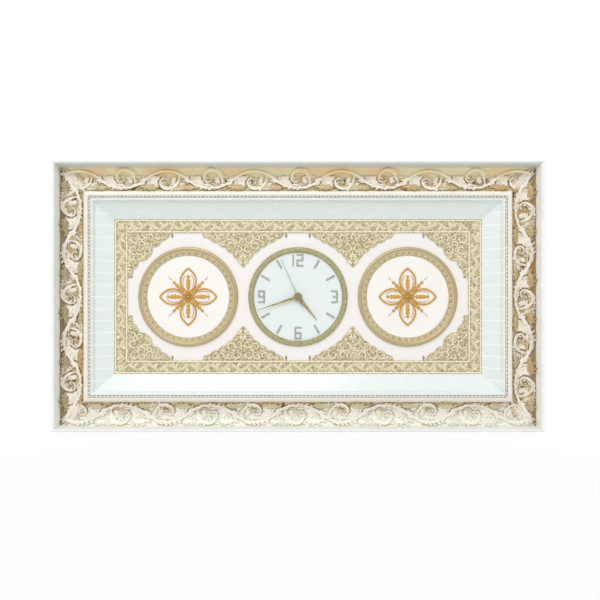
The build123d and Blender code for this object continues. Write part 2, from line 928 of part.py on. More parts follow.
def second_hand():
    """A thin sweep hand with a short tail, a round cap and a collet that grips its arbor."""
    blade = Polygon(
        (-second_hand_width / 2, -second_tail), (second_hand_width / 2, -second_tail),
        (hand_tip_width / 2, second_length), (-hand_tip_width / 2, second_length), align=None,
    )
    hand = prism(blade + Circle(second_hub_radius), second_level, second_level + hand_thickness)
    hand += pillar(collet_radius, second_level - hand_level_gap / 2, second_level)
    return hand - pillar(second_arbor_radius, second_level - hand_level_gap, second_level + hand_thickness / 2)


def build_hands():
    """Hour, minute and second hand at the shown time."""
    hour = tapered_hand(hour_length, hour_hand_width, hour_hub_radius, hour_tube_radius, hour_level)
    minute = tapered_hand(minute_length, minute_hand_width, minute_hub_radius, centre_tube_radius, minute_level)
    parts["hour_hand"] = Rot(0, 0, -hour_angle) * hour
    parts["minute_hand"] = Rot(0, 0, -minute_angle) * minute
    parts["second_hand"] = Rot(0, 0, -second_angle) * second_hand()


def gear_face(teeth, module, phase):
    """Outline of a toothed wheel, with the middle of one tooth at the phase angle in degrees."""
    pitch_radius = teeth * module / 2
    tip_radius = pitch_radius + addendum * module
    root_radius = pitch_radius - dedendum * module
    half_tooth = tooth_share * pi * module / 2
    slope = tan(radians(flank_slope))
    tip_half = degrees((half_tooth - addendum * module * slope) / tip_radius)
    root_half = degrees((half_tooth + dedendum * module * slope) / root_radius)
    root_half = min(root_half, 180 * widest_root / teeth)
    points = []
    for tooth in range(teeth):
        middle = phase + 360 * tooth / teeth
        points.append(polar(root_radius, middle - root_half))
        points.append(polar(tip_radius, middle - tip_half))
        points.append(polar(tip_radius, middle + tip_half))
        points.append(polar(root_radius, middle + root_half))
    return Polygon(*points, align=None)


def gear(teeth, module, phase, bottom, top, place=(0, 0)):
    """A toothed wheel standing at a place."""
    return Pos(place[0], place[1], 0) * prism(gear_face(teeth, module, phase), bottom, top)


def meshing_phase(phase, teeth, other_teeth, direction):
    """Phase of a wheel that meshes with another one lying in the given direction from it.

    The first wheel's tooth next to the line of centres enters a gap of the other.
    """
    pitch = 360 / teeth
    ahead = (phase - direction + pitch / 2) % pitch - pitch / 2
    return direction + 180 - ahead * teeth / other_teeth + 180 / other_teeth


def pivoted_arbor(bottom, top, place):
    """A thin arbor that ends in a smaller pivot at both ends."""
    arbor = pillar(arbor_radius, bottom, top, place)
    return arbor + pillar(pivot_radius, bottom - pivot_length, top + pivot_length, place)


# Where the front pivots of the arbors run in the case
front_bearing = {
    "third": centre_wheel_top + wheel_gap,
    "intermediate": second_wheel_top + wheel_gap,
    "rotor": third_wheel_top + wheel_gap,
}
train_arbors = {"third": third_arbor, "intermediate": intermediate_arbor, "rotor": rotor_arbor}


def train_arbor(name):
    """The arbor of a wheel of the going train, between its bearings with end shake."""
    return pivoted_arbor(rear_bearing + end_shake, front_bearing[name] - end_shake, train_arbors[name])


def build_going_train():
    """Wheels from the rotor to the centre wheel."""
    rotor_phase = rotor_direction + 180
    leaves_top = intermediate_wheel_top + leaf_overhang
    leaves_bottom = intermediate_wheel_bottom - leaf_overhang
    rotor = train_arbor("rotor")
    rotor += gear(rotor_leaves, rotor_module, rotor_phase, leaves_bottom, leaves_top, rotor_arbor)
    rotor += pillar(magnet_radius, magnet_bottom, magnet_bottom + magnet_length, rotor_arbor)
    parts["rotor"] = rotor

    wheel_phase = meshing_phase(rotor_phase, rotor_leaves, intermediate_teeth, rotor_direction + 180)
    pinion_phase = intermediate_direction + 180
    intermediate = train_arbor("intermediate")
    intermediate += gear(
        intermediate_teeth, rotor_module, wheel_phase,
        intermediate_wheel_bottom, intermediate_wheel_top, intermediate_arbor,
    )
    intermediate += gear(
        intermediate_leaves, second_module, pinion_phase,
        intermediate_wheel_top, second_wheel_top + leaf_overhang, intermediate_arbor,
    )
    parts["intermediate_wheel"] = intermediate

    wheel_phase = meshing_phase(pinion_phase, intermediate_leaves, second_teeth, intermediate_direction + 180)
    pinion_phase = third_direction
    arbor_bottom = rear_bearing + end_shake
    second = pillar(second_arbor_radius, arbor_bottom, second_level + hand_thickness / 2)
    second += pillar(pivot_radius, arbor_bottom - pivot_length, arbor_bottom)
    second += gear(second_teeth, second_module, wheel_phase, second_wheel_bottom, second_wheel_top)
    second += gear(second_leaves, third_module, pinion_phase, second_wheel_top, third_wheel_top + leaf_overhang)
    parts["second_wheel"] = second

    wheel_phase = meshing_phase(pinion_phase, second_leaves, third_teeth, third_direction)
    pinion_phase = third_direction + 180
    third = train_arbor("third")
    third += gear(third_teeth, third_module, wheel_phase, third_wheel_bottom, third_wheel_top, third_arbor)
    third += gear(
        third_leaves, centre_module, pinion_phase, third_wheel_top, centre_wheel_top + leaf_overhang, third_arbor
    )
    parts["third_wheel"] = third

    wheel_phase = meshing_phase(pinion_phase, third_leaves, centre_teeth, third_direction + 180)
    tube_bottom = third_wheel_top + wheel_gap
    tube_top = minute_level + hand_thickness + tube_proud
    centre = pillar(centre_tube_radius, tube_bottom, tube_top)
    centre += gear(centre_teeth, centre_module, wheel_phase, centre_wheel_bottom, centre_wheel_top)
    centre += gear(cannon_teeth, motion_module, motion_direction, centre_wheel_top, motion_wheel_top + leaf_overhang)
    centre -= pillar(second_arbor_radius + running_fit, tube_bottom - 1, tube_top + 1)
    parts["centre_wheel"] = centre


def build_motion_work():
    """Wheels that turn the hour hand once for twelve turns of the minute hand, and the setting knob."""
    wheel_phase = meshing_phase(motion_direction, cannon_teeth, motion_teeth, motion_direction)
    pinion_phase = motion_direction + 180
    bottom = motion_wheel_bottom - leaf_overhang
    motion = gear(motion_teeth, motion_module, wheel_phase, motion_wheel_bottom, motion_wheel_top, motion_arbor)
    motion += gear(
        motion_leaves, hour_module, pinion_phase, bottom, case_inner - wheel_gap / 2 + end_shake, motion_arbor
    )
    motion -= pillar(motion_stud_radius + running_fit, bottom - 1, case_inner + 1, motion_arbor)
    parts["motion_work_wheel"] = motion

    wheel_phase = meshing_phase(pinion_phase, motion_leaves, hour_teeth, motion_direction + 180)
    tube_top = hour_level + hand_thickness + tube_proud
    hour = pillar(hour_tube_radius, hour_wheel_bottom, tube_top)
    hour += gear(hour_teeth, hour_module, wheel_phase, hour_wheel_bottom, hour_wheel_top)
    hour -= pillar(centre_tube_radius + running_fit, hour_wheel_bottom - 1, tube_top + 1)
    parts["hour_wheel"] = hour

    motion_phase = meshing_phase(motion_direction, cannon_teeth, motion_teeth, motion_direction)
    knob_phase = meshing_phase(motion_phase, motion_teeth, cannon_teeth, knob_direction)
    knob_top = wall_gap - knob_clearance
    rim = [
        polar(knob_radius - knob_grip_depth * (step % 2), 180 * step / knob_grips, knob_arbor)
        for step in range(2 * knob_grips)
    ]
    knob = plate(rim, knob_top - knob_thickness, knob_top)
    knob += pillar(knob_arbor_radius, knob_top, motion_wheel_top + leaf_overhang, knob_arbor)
    knob += gear(
        cannon_teeth, motion_module, knob_phase,
        motion_wheel_bottom - leaf_overhang, motion_wheel_top + leaf_overhang, knob_arbor,
    )
    pivot_bottom = motion_wheel_top + leaf_overhang
    knob += pillar(pivot_radius, pivot_bottom, pivot_bottom + pivot_length, knob_arbor)
    parts["setting_knob"] = knob


def build_motor():
    """Stator, coil, circuit board and crystal."""
    right = stator_left + stator_width
    bottom, top = stator_bottom_level, stator_top_level
    head = coil_height + core_width / 2
    foot = block(stator_left, right, stator_bottom, stator_bottom + stator_foot_height, bottom, top)
    stator = foot
    for left in (stator_left, right - stator_arm_width):
        stator += block(left, left + stator_arm_width, stator_bottom, head, bottom, top)
    stator -= pillar(magnet_radius + stator_gap, bottom - 1, top + 1, rotor_arbor)
    parts["stator"] = stator

    core = block(
        stator_left, right, coil_height - core_width / 2, head, top, top + stator_thickness
    )
    middle = stator_left + stator_width / 2
    axis = Plane(origin=(middle - coil_length / 2, coil_height, top + stator_thickness / 2), z_dir=(1, 0, 0))
    winding = extrude(axis * Circle(coil_radius), amount=coil_length)
    cheek = extrude(axis * Circle(coil_cheek_radius), amount=coil_cheek)
    coil = winding + cheek + Pos(coil_length - coil_cheek, 0, 0) * cheek
    parts["coil"] = coil + core

    low_x, high_x = board_x - board_length / 2, board_x + board_length / 2
    low_y, high_y = board_y - board_width / 2, board_y + board_width / 2
    board_top = board_level + board_thickness
    parts["circuit_board"] = block(low_x, high_x, low_y, high_y, board_level, board_top)
    crystal_axis = Plane(
        origin=(board_x - crystal_length / 2, board_y, board_level - crystal_radius), z_dir=(1, 0, 0)
    )
    parts["quartz_crystal"] = extrude(crystal_axis * Circle(crystal_radius), amount=crystal_length)


# Outer size of the movement: two walls, with the cell and both contacts end to end between them
bay_length = contact_thickness + battery_gap + battery_nub_length + battery_length + spring_gap + spring_reach
movement_size = bay_length + 2 * movement_wall


def rounded_case(bottom, top):
    """Outer block of the movement with rounded upright edges."""
    return prism(RectangleRounded(movement_size, movement_size, movement_corner), bottom, top)


def case_hollow(bottom, top):
    """Room inside the movement's walls."""
    inner = movement_size - 2 * movement_wall
    radius = movement_corner - movement_wall
    return prism(RectangleRounded(inner, inner, radius), bottom, top)


# Battery bay along the lower edge of the movement
bay_bottom = -movement_size / 2 + movement_wall
bay_top = bay_bottom + 2 * (battery_radius + battery_gap)
battery_y = (bay_bottom + bay_top) / 2
battery_level = case_inner - battery_gap - battery_radius
bay_half_length = bay_length / 2


def bay_wall(bottom, top):
    """Partition between the battery and the wheels."""
    return block(-bay_half_length, bay_half_length, bay_top, bay_top + partition_wall, bottom, top)


def build_case():
    """Front case with its bush and bearings, rear cover, washer and nut."""
    case = rounded_case(case_split, panel_back) - case_hollow(case_split - 1, case_inner)
    case += bay_wall(case_split, case_inner)
    case += pillar(bush_radius, panel_back, bush_top)
    for name, place in train_arbors.items():
        case += pillar(boss_radius, front_bearing[name], case_inner, place)
        case -= pillar(
            pivot_radius + running_fit, front_bearing[name] - 1, front_bearing[name] + pivot_length + end_shake, place
        )
    case += pillar(motion_stud_radius, motion_wheel_bottom - leaf_overhang, case_inner, motion_arbor)
    knob_bearing = motion_wheel_top + leaf_overhang + end_shake
    case += pillar(boss_radius, knob_bearing, case_inner, knob_arbor)
    case -= pillar(pivot_radius + running_fit, knob_bearing - 1, knob_bearing + pivot_length + end_shake, knob_arbor)
    board_top = board_level + board_thickness
    for turn in (-1, 1):
        place = (board_x + turn * board_length / 4, board_y + turn * board_width / 4)
        case += pillar(board_post_radius, board_top, case_inner, place)
    case -= pillar(bush_bore, case_inner - 1, bush_top + 1)
    parts["movement_case"] = case

    cover = rounded_case(wall_gap, case_split) - case_hollow(cover_inner, case_split + 1)
    cover -= block(-bay_half_length, bay_half_length, bay_bottom, bay_top, wall_gap - 1, case_split + 1)
    cover += bay_wall(cover_inner, case_split)
    for place in (third_arbor, intermediate_arbor, rotor_arbor, (0, 0)):
        cover += pillar(boss_radius, cover_inner, rear_bearing, place)
        cover -= pillar(
            pivot_radius + running_fit, rear_bearing - pivot_length - end_shake, rear_bearing + 1, place
        )
    cover -= pillar(knob_arbor_radius + running_fit, wall_gap - 1, case_split, knob_arbor)
    cover += cover_tongues()
    parts["movement_cover"] = cover
    parts["mounting_washer"] = pipe(washer_radius, bush_radius + running_fit, disc_top, washer_top)
    flats = RegularPolygon(nut_flats / 2, 6, major_radius=False) - Circle(bush_radius)
    parts["mounting_nut"] = prism(flats, washer_top, nut_top)


def cover_tongues():
    """Tongues on the cover that slip inside the case walls."""
    inner = movement_size / 2 - movement_wall - tongue_gap
    low, high = case_split - tongue_height, case_split + tongue_height
    tongues = []
    for y in tongue_places:
        tongue = block(inner - tongue_thickness, inner, y, y + tongue_length, case_split, high)
        root = block(inner - tongue_thickness, inner + tongue_gap, y, y + tongue_length, low, case_split)
        right = tongue + root
        tongues += [right, mirror(right, about=Plane.YZ)]
    return tongues


def build_battery():
    """Cell and the two contacts at the ends of its bay."""
    nub_end = bay_half_length - contact_thickness - battery_gap
    start = nub_end - battery_nub_length - battery_length
    edge = battery_edge
    outline = [
        (0, 0), (battery_radius - edge, 0), (battery_radius, edge),
        (battery_radius, battery_length - edge), (battery_radius - edge, battery_length),
        (battery_nub_radius, battery_length), (battery_nub_radius, battery_length + battery_nub_length),
        (0, battery_length + battery_nub_length),
    ]
    cell = revolve(Polygon(*outline, align=None), axis=Axis.Y)
    parts["battery"] = Pos(start, battery_y, battery_level) * (Rot(0, 0, -90) * cell)

    low, high = battery_y - contact_width / 2, battery_y + contact_width / 2
    bottom = battery_level - contact_height / 2
    top = battery_level + contact_height / 2
    parts["contact_positive"] = block(bay_half_length - contact_thickness, bay_half_length, low, high, bottom, top)

    wall = -bay_half_length
    reach = min(wall + spring_reach, start - battery_gap)
    strip = contact_thickness
    leaf_spring = Polygon(
        (wall + strip, top), (reach, battery_level), (wall + 2.5 * strip, bottom),
        (wall + 1.5 * strip, bottom), (reach - strip, battery_level), (wall, top), align=None,
    )
    back_plate = Polygon((wall, bottom), (wall + strip, bottom), (wall + strip, top), (wall, top), align=None)
    spring = Plane.XZ * (leaf_spring + back_plate)
    parts["contact_negative"] = Pos(0, battery_y + contact_width / 2, 0) * extrude(
        spring, amount=contact_width, dir=(0, -1, 0)
    )


def export_parts():
    """Stand the clock up on its hangers: x right, z up, the wall behind at y = 0."""
    hang_height = frame_height / 2 - hanger_inset
    upright = Plane(origin=(0, 0, -hang_height), x_dir=(1, 0, 0), z_dir=(0, -1, 0))
    os.makedirs("parts", exist_ok=True)
    for name, solid in parts.items():
        export_step(upright.location * solid, f"parts/{name}.step")


build_frame()
build_slip()
build_panel()
build_gilt_work()
build_medallions()
build_dial()
build_hands()
build_going_train()
build_motion_work()
build_motor()
build_case()
build_battery()
export_parts()
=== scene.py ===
"""Dresses the framed wall clock.

Carves the scrollwork of the moulding, lays the strapwork and lacework on the panel, finishes the rings,
medallions, dial, hands and movement, and sets up the studio. Lengths are in millimetres on the bench:
x to the right, y up from the middle of the dial, z out from the wall. Meshes are made in metres.
"""

import bpy
import numpy as np
from bpy.props import FloatProperty, FloatVectorProperty, IntProperty, PointerProperty
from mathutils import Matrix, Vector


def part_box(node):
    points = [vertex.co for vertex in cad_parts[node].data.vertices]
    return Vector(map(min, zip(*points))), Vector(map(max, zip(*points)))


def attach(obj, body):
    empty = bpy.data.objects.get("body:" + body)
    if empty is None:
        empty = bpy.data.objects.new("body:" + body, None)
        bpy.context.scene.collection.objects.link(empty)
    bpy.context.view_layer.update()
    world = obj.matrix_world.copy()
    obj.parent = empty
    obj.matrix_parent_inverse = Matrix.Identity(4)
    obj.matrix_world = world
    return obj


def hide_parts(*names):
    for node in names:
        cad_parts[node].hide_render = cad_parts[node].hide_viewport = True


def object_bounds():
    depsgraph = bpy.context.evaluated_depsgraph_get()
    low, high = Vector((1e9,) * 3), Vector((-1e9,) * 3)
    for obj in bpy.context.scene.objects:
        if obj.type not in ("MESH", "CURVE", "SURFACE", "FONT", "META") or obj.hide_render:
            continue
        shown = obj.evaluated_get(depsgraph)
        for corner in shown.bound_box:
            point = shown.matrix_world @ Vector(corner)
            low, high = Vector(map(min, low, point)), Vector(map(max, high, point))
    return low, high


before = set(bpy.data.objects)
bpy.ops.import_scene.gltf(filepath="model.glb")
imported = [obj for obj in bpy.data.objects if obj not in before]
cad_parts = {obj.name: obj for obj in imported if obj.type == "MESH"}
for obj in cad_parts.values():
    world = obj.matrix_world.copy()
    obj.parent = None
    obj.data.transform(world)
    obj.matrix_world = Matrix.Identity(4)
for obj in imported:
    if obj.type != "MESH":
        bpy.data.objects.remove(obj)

bl_info = {
    "name": "Framed Wall Clock",
    "version": (1, 0, 0),
    "blender": (4, 5, 0),
    "location": "View3D > Sidebar > Clock",
    "description": "Carving, gilding and finishes for a framed wall clock",
    "category": "Object",
}

MM = 0.001
SIDES = ("bottom", "right", "top", "left")
LEVEL_SIDES = ("bottom", "top")

# The whole clock, and the middle of its dial above the frame's origin
clock_low, clock_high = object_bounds()
HALF_WIDTH = (clock_high[0] - clock_low[0]) / 2 / MM
HALF_HEIGHT = (clock_high[2] - clock_low[2]) / 2 / MM
DIAL_CENTRE = (clock_high[2] + clock_low[2]) / 2

# The moulding, measured in from the frame's outer edge and up from the wall
LIP_WIDTH = 6.2
LIP_LEVEL = 57.0
LIP_WALL_EDGE = 8.5
LIP_WALL_TOP, LIP_WALL_FOOT = 60.0, 52.0
COVE_MIDDLE = 32.5
COVE_HALF = 24.5
COVE_START, COVE_END = COVE_MIDDLE - COVE_HALF, COVE_MIDDLE + COVE_HALF
COVE_FLOOR, COVE_TOP = 38.0, 49.9
COVE_RADIUS = 31.0
MITRE_OVERLAP = 0.4
BEAD_LINE = 69.0
BEAD_LEVEL = 51.0
PANEL_LEVEL = 24.0
BORDER_LEVEL = PANEL_LEVEL + 1.0
ORNAMENT_LEVEL = PANEL_LEVEL + 1.2

# How far a normal leans into the wall: less than this on fronts, more on steep faces and on backs
FRONT_LEAN = -0.4
STEEP_LEAN = -0.6
BACK_LEAN = 0.6

# How much rougher a bare back is than the lacquer in front
BARE_ROUGHNESS = 0.4

# Grooves across the upright slips, and half the share of their pitch that the painted highlight along one
# takes up
GROOVE_PITCH = 25.0
GROOVE_HIGHLIGHT_SHARE = 0.034

# The studio, in metres
FLOOR_RADIUS, FLOOR_CORNERS = 2.6, 64
KEY_PLACE, KEY_SIZE = (-0.5, -2.0, 1.6), 1.6
CAMERA_RIGHT, CAMERA_DOWN = 0.0043, 0.0069


def srgb(red, green, blue):
    """A colour given as 0 to 255 display values, as the linear values that shaders use."""
    values = np.array([red, green, blue]) / 255
    linear = np.where(values <= 0.04045, values / 12.92, ((values + 0.055) / 1.055) ** 2.4)
    return tuple(float(value) for value in linear)


def colour_property(name, description, display):
    """A colour that can be picked in the panel."""
    return FloatVectorProperty(
        name=name, description=description, default=srgb(*display), subtype="COLOR", size=3,
        min=0.0, max=1.0,
    )


def length_property(name, description, millimetres, largest):
    """A length in metres, with its default given in millimetres."""
    return FloatProperty(
        name=name, description=description, default=millimetres * MM, min=0.0, max=largest * MM,
        unit="LENGTH", subtype="DISTANCE", precision=5,
    )


class CarvingSettings(bpy.types.PropertyGroup):
    """Sizes of the carved scrollwork on the moulding."""

    bay: length_property("Bay", "Length of one scroll along the moulding", 91.0, 200.0)
    swing: length_property("Swing", "How far the stem swings from the middle of the cove", 17.0, 24.0)
    relief: length_property("Relief", "How far the stem stands off the cove", 5.4, 12.0)
    stem: length_property("Stem", "Half the width of the running stem", 3.4, 6.0)
    lobes: IntProperty(name="Lobes", description="Lobes on each side of a leaf", default=4, min=2, max=8)


class LaceSettings(bpy.types.PropertyGroup):
    """Sizes of the fine ornament on the panel."""

    strap_pitch: length_property("Strap pitch", "Distance from one leaning leaf to the next", 22.0, 40.0)
    strap_relief: length_property("Strap relief", "How far the leaves stand off the border", 1.3, 3.0)
    scroll: length_property("Largest scroll", "Radius of the largest scroll in the lacework", 11.0, 18.0)
    smallest: length_property("Smallest bud", "Radius of the smallest bud in the lacework", 1.2, 4.0)
    relief: length_property("Lace relief", "How far the lacework stands off its plate", 1.8, 4.0)
    pearl: length_property("Pearl pitch", "Distance between the pearls of the bead strips", 8.0, 12.0)


class FinishSettings(bpy.types.PropertyGroup):
    """Colours of the finishes."""

    # Cream crests, flanks and the dark gold in the low parts: partly the finish, partly painted highlight and
    # shade
    cream: colour_property("Cream", "Warm white on the crests of the carving", (248, 241, 228))
    antique_and_shade: colour_property("Antique gold", "Gold rubbed into the recesses", (140, 122, 84))
    flank: colour_property("Rubbed flank", "Sides of the carving, rubbed thin", (208, 196, 168))
    # Recess glaze lies in patches on the cove ground, partly as painted shade between the carved strokes
    recess: colour_property("Recess", "Dark glaze at the bottom of the carving", (104, 84, 50))
    olive: colour_property("Olive gold", "Greenish gold on some leaves", (184, 172, 112))
    ochre: colour_property("Ochre gold", "Warm gold on some leaves", (196, 156, 84))
    mint: colour_property("Mint lacquer", "Pale green white of the slip", (233, 241, 238))
    panel: colour_property("Panel white", "Satin white of the panel", (247, 242, 238))
    # Lace cream crests and pale gold flanks: partly the finish, partly painted highlight and shade
    pale_gold: colour_property("Pale gold", "Sides of the raised strokes of the lacework", (200, 186, 142))
    lace: colour_property("Lace cream", "Raised strokes of the lacework", (250, 241, 212))
    ring: colour_property("Ring gold", "Antique gold of the rings", (186, 173, 134))
    amber: colour_property("Amber gold", "Bright gold of the rosettes", (198, 148, 48))
    dial: colour_property("Dial white", "Pale mint white of the dial", (234, 242, 240))
    figure: colour_property("Figure grey", "Grey of the numerals and hour bars", (152, 154, 148))
    hand: colour_property("Hand gold", "Dark gold of the hands", (150, 134, 78))


class StageSettings(bpy.types.PropertyGroup):
    """Camera, floor, lamp and light all round."""

    lens: FloatProperty(
        name="Lens", description="Focal length in millimetres", default=29.8, min=10.0, max=200.0
    )
    distance: length_property("Distance", "From the camera to the front of the moulding", 1006.0, 5000.0)
    floor_drop: length_property("Floor", "How far the floor lies below the dial", 960.0, 3000.0)
    key: FloatProperty(
        name="Key lamp", description="Power of the lamp above", default=25.0, min=0.0, max=500.0
    )
    ambient: FloatProperty(
        name="Ambient", description="Strength of the light all round", default=0.8, min=0.0, max=2.0
    )


# Places and surfaces


def inward(x, y):
    """Distance in from the frame's outer edge."""
    return np.minimum(HALF_WIDTH - np.abs(x), HALF_HEIGHT - np.abs(y))


def cove_drop(x, y):
    """How far the cove lies behind the axis of its round."""
    across = np.clip(inward(x, y) - COVE_MIDDLE, -COVE_HALF, COVE_HALF)
    return np.sqrt(COVE_RADIUS**2 - across**2)


def cove_level(x, y):
    """Height of the cove above the wall."""
    return COVE_FLOOR + COVE_RADIUS - cove_drop(x, y)


def cove_lift(x, y):
    """How much higher a stroke stands, measured straight out from the wall, where the cove slopes."""
    return COVE_RADIUS / cove_drop(x, y)


def flat_level(height):
    """A flat surface at one height above the wall."""
    return lambda x, y: np.full(np.shape(x), height)


def rail_place(side):
    """Turns a place along a rail and inward from its outer edge into bench x and y."""
    places = {
        "top": lambda along, deep: (-along, HALF_HEIGHT - deep),
        "right": lambda along, deep: (HALF_WIDTH - deep, along),
        "bottom": lambda along, deep: (along, deep - HALF_HEIGHT),
        "left": lambda along, deep: (deep - HALF_WIDTH, -along),
    }
    return places[side]


def rail_half_length(side):
    """Half the outer length of a rail."""
    return HALF_WIDTH if side in LEVEL_SIDES else HALF_HEIGHT


def own_side(side):
    """Tells which places belong to one rail and not to its neighbours beyond the mitres."""
    if side in LEVEL_SIDES:
        return lambda x, y: HALF_HEIGHT - np.abs(y) <= HALF_WIDTH - np.abs(x) + MITRE_OVERLAP
    return lambda x, y: HALF_WIDTH - np.abs(x) <= HALF_HEIGHT - np.abs(y) + MITRE_OVERLAP


def width_of(node):
    """The middle of a node from left to right, and half its width."""
    low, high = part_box(node)
    return (low[0] + high[0]) / 2 / MM, (high[0] - low[0]) / 2 / MM


def unit(way):
    """A direction with a length of one."""
    return way / np.linalg.norm(way)


def left_of(way):
    """A direction turned a quarter to the left."""
    return np.array([-way[1], way[0]])


def toward(degrees):
    """The direction at an angle from the x axis."""
    return np.array([np.cos(np.radians(degrees)), np.sin(np.radians(degrees))])


# Strokes of a carver: lines, and what is laid along them


def curve(controls, steps=14):
    """A smooth line that starts at the first control point and ends at the last."""
    line = np.repeat(np.array(controls, float)[:, None, :], steps, axis=1)
    share = np.linspace(0, 1, steps)[:, None]
    while len(line) > 1:
        line = line[:-1] * (1 - share) + line[1:] * share
    return line[0]


def winding(centre, angles, radii, steps):
    """A line that winds round a centre through the given angles, in degrees, and radii."""
    share = np.linspace(0, 1, len(angles))
    fine = np.linspace(0, 1, steps)
    radius = np.interp(fine, share, radii)
    radius[2:-2] = np.convolve(radius, np.ones(5) / 5, "valid")
    return centre + (radius * toward(np.interp(fine, share, angles))).T


def swell(steps, peak=0.35, floor=0.06):
    """Widths of a stroke that starts thin, is full at its peak and ends in a point."""
    share = np.linspace(0, 1, steps)
    power = peak / (1 - peak)
    shape = share**power * (1 - share)
    return np.maximum(shape / shape.max(), floor)


def stroke(line, half_width, height, across=7, groove=0.0, sink=0.6):
    """A rounded stroke along a line, with a groove down its middle if asked."""
    direction = np.gradient(line, axis=0)
    direction /= np.linalg.norm(direction, axis=1, keepdims=True) + 1e-9
    share = np.linspace(-1, 1, across)
    offset = np.broadcast_to(half_width, len(line))[:, None] * share
    x = line[:, :1] - direction[:, 1:] * offset
    y = line[:, 1:] + direction[:, :1] * offset
    dome = np.sqrt(1 - share**2) * (1 - groove * np.exp(-((share / 0.3) ** 2)))
    z = np.broadcast_to(height, len(line))[:, None] * dome
    z[:, 0] -= sink
    z[:, -1] -= sink
    return x, y, z


def bud(centre, radius, height, across=6, sink=0.5):
    """A round dome, made of a square of faces drawn out to a circle."""
    share = np.linspace(-1, 1, across)
    x, y = np.meshgrid(share, share, indexing="ij")
    round_x = x * np.sqrt(1 - y**2 / 2)
    round_y = y * np.sqrt(1 - x**2 / 2)
    far = np.minimum(round_x**2 + round_y**2, 1)
    z = height * np.sqrt(1 - far) - sink * (far > 0.999)
    return centre[0] + radius * round_x, centre[1] + radius * round_y, z


def new_object(name, data):
    """An object in the scene that shows some data."""
    item = bpy.data.objects.new(name, data)
    bpy.context.scene.collection.objects.link(item)
    return item


class Relief:
    """Gathers strokes on one surface into a single mesh, with how high and how gilded each point is.

    The sharper it is, the narrower the crests that count as high, and with them the painted highlight that the
    gilding lays there.
    """

    def __init__(self, level, place=None, keep=None, lift=None, sharpness=1.0):
        self.level = level
        self.place = place
        self.keep = keep
        self.lift = lift
        self.sharpness = sharpness
        self.points, self.faces, self.rises, self.tints = [], [], [], []
        self.count = 0

    def add(self, shape, tint=0.0):
        """Lays one stroke or bud. Tint runs from 0, cream, to 1, gold."""
        x, y, z = shape
        rise = np.clip(z / max(z.max(), 0.01), 0, 1) ** self.sharpness
        if self.place:
            x, y = self.place(x, y)
        rows, columns = z.shape
        index = np.arange(rows * columns).reshape(rows, columns)
        corners = (index[:-1, :-1], index[1:, :-1], index[1:, 1:], index[:-1, 1:])
        faces = np.stack([corner.ravel() for corner in corners], axis=1)
        x, y = x.ravel(), y.ravel()
        if self.keep:
            faces = faces[self.keep(x[faces].mean(axis=1), y[faces].mean(axis=1))]
        next_x, next_y = np.roll(x[faces], -1, 1), np.roll(y[faces], -1, 1)
        if (next_x * y[faces] - x[faces] * next_y).sum() > 0:
            faces = faces[:, ::-1]
        height = self.level(x, y) + z.ravel() * (self.lift(x, y) if self.lift else 1)
        self.points.append(np.stack([x * MM, -height * MM, y * MM + DIAL_CENTRE], axis=-1))
        self.faces.append(faces + self.count)
        self.rises.append(rise.ravel())
        self.tints.append(np.full(rise.size, float(tint)))
        self.count += rise.size

    def taper(self, controls, width, height, tint, steps, peak=0.5, floor=0.15, across=5, groove=0.0):
        """Lays a stroke that swells and thins along a smooth line."""
        widths = width * swell(steps, peak, floor)
        self.add(stroke(curve(controls, steps), widths, height, across, groove), tint)

    def make(self, name, material):
        """Turns what was gathered into one smooth piece that rides on the clock."""
        points = np.concatenate(self.points)
        faces = np.concatenate(self.faces)
        used = np.unique(faces)
        order = np.full(len(points), -1)
        order[used] = np.arange(len(used))
        mesh = bpy.data.meshes.new(name)
        mesh.vertices.add(len(used))
        mesh.vertices.foreach_set("co", points[used].ravel())
        mesh.loops.add(faces.size)
        mesh.loops.foreach_set("vertex_index", order[faces].ravel())
        mesh.polygons.add(len(faces))
        mesh.polygons.foreach_set("loop_start", np.arange(0, faces.size, 4))
        for label, values in (("rise", self.rises), ("tint", self.tints)):
            layer = mesh.attributes.new(label, "FLOAT", "POINT")
            layer.data.foreach_set("value", np.concatenate(values)[used])
        mesh.update(calc_edges=True)
        mesh.validate()
        mesh.shade_smooth()
        mesh.materials.append(material)
        piece = new_object(name, mesh)
        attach(piece, "clock")
        return piece


def leaf(relief, controls, width, height, lobes, tint, steps=14):
    """A carved leaf: a broad grooved blade with pointed lobes along both edges."""
    spine = curve(controls, steps)
    heading = np.gradient(spine, axis=0)
    widths = swell(steps, 0.4)
    relief.add(stroke(spine, width * 0.7 * widths, height * (0.55 + 0.45 * widths), 7, 0.4), tint)
    for lobe in range(lobes):
        at = int(round((0.12 + 0.66 * lobe / max(lobes - 1, 1)) * (steps - 1)))
        start, forward = spine[at], unit(heading[at])
        length = width * (0.5 + 0.6 * widths[at])
        for outward in (-left_of(forward), left_of(forward)):
            middle = start + (0.35 * forward + 0.62 * outward) * length
            end = start + (forward + 0.78 * outward) * length
            relief.taper([start, middle, end], width * 0.34, height * 0.85, tint, 8, floor=0.1, groove=0.25)


def fan(relief, centre, heading, petals, opening, length, width, height, tint):
    """Broad pointed petals that spread from one point, the middle one the longest."""
    for turn in sorted(np.linspace(-opening, opening, petals), key=abs, reverse=True):
        out = toward(heading + turn)
        reach = length * (1 - 0.35 * abs(turn) / opening)
        tip = centre + out * reach + left_of(out) * np.sign(turn) * 0.12 * length
        line = [centre, centre + out * reach * 0.55, tip]
        relief.taper(line, width, height, tint, 9, 0.55, across=7, groove=0.3)


# Shader nodes


def feed(tree, socket, value):
    """Joins a socket to another one, or sets its value."""
    if isinstance(value, bpy.types.NodeSocket):
        tree.links.new(value, socket)
    elif socket.type == "RGBA" and len(value) == 3:
        socket.default_value = (*value, 1.0)
    else:
        socket.default_value = value


def feed_all(tree, node, inputs):
    """Feeds several inputs of a node, named or numbered. Returns its outputs."""
    for label, value in inputs.items():
        feed(tree, node.inputs[label], value)
    return node.outputs


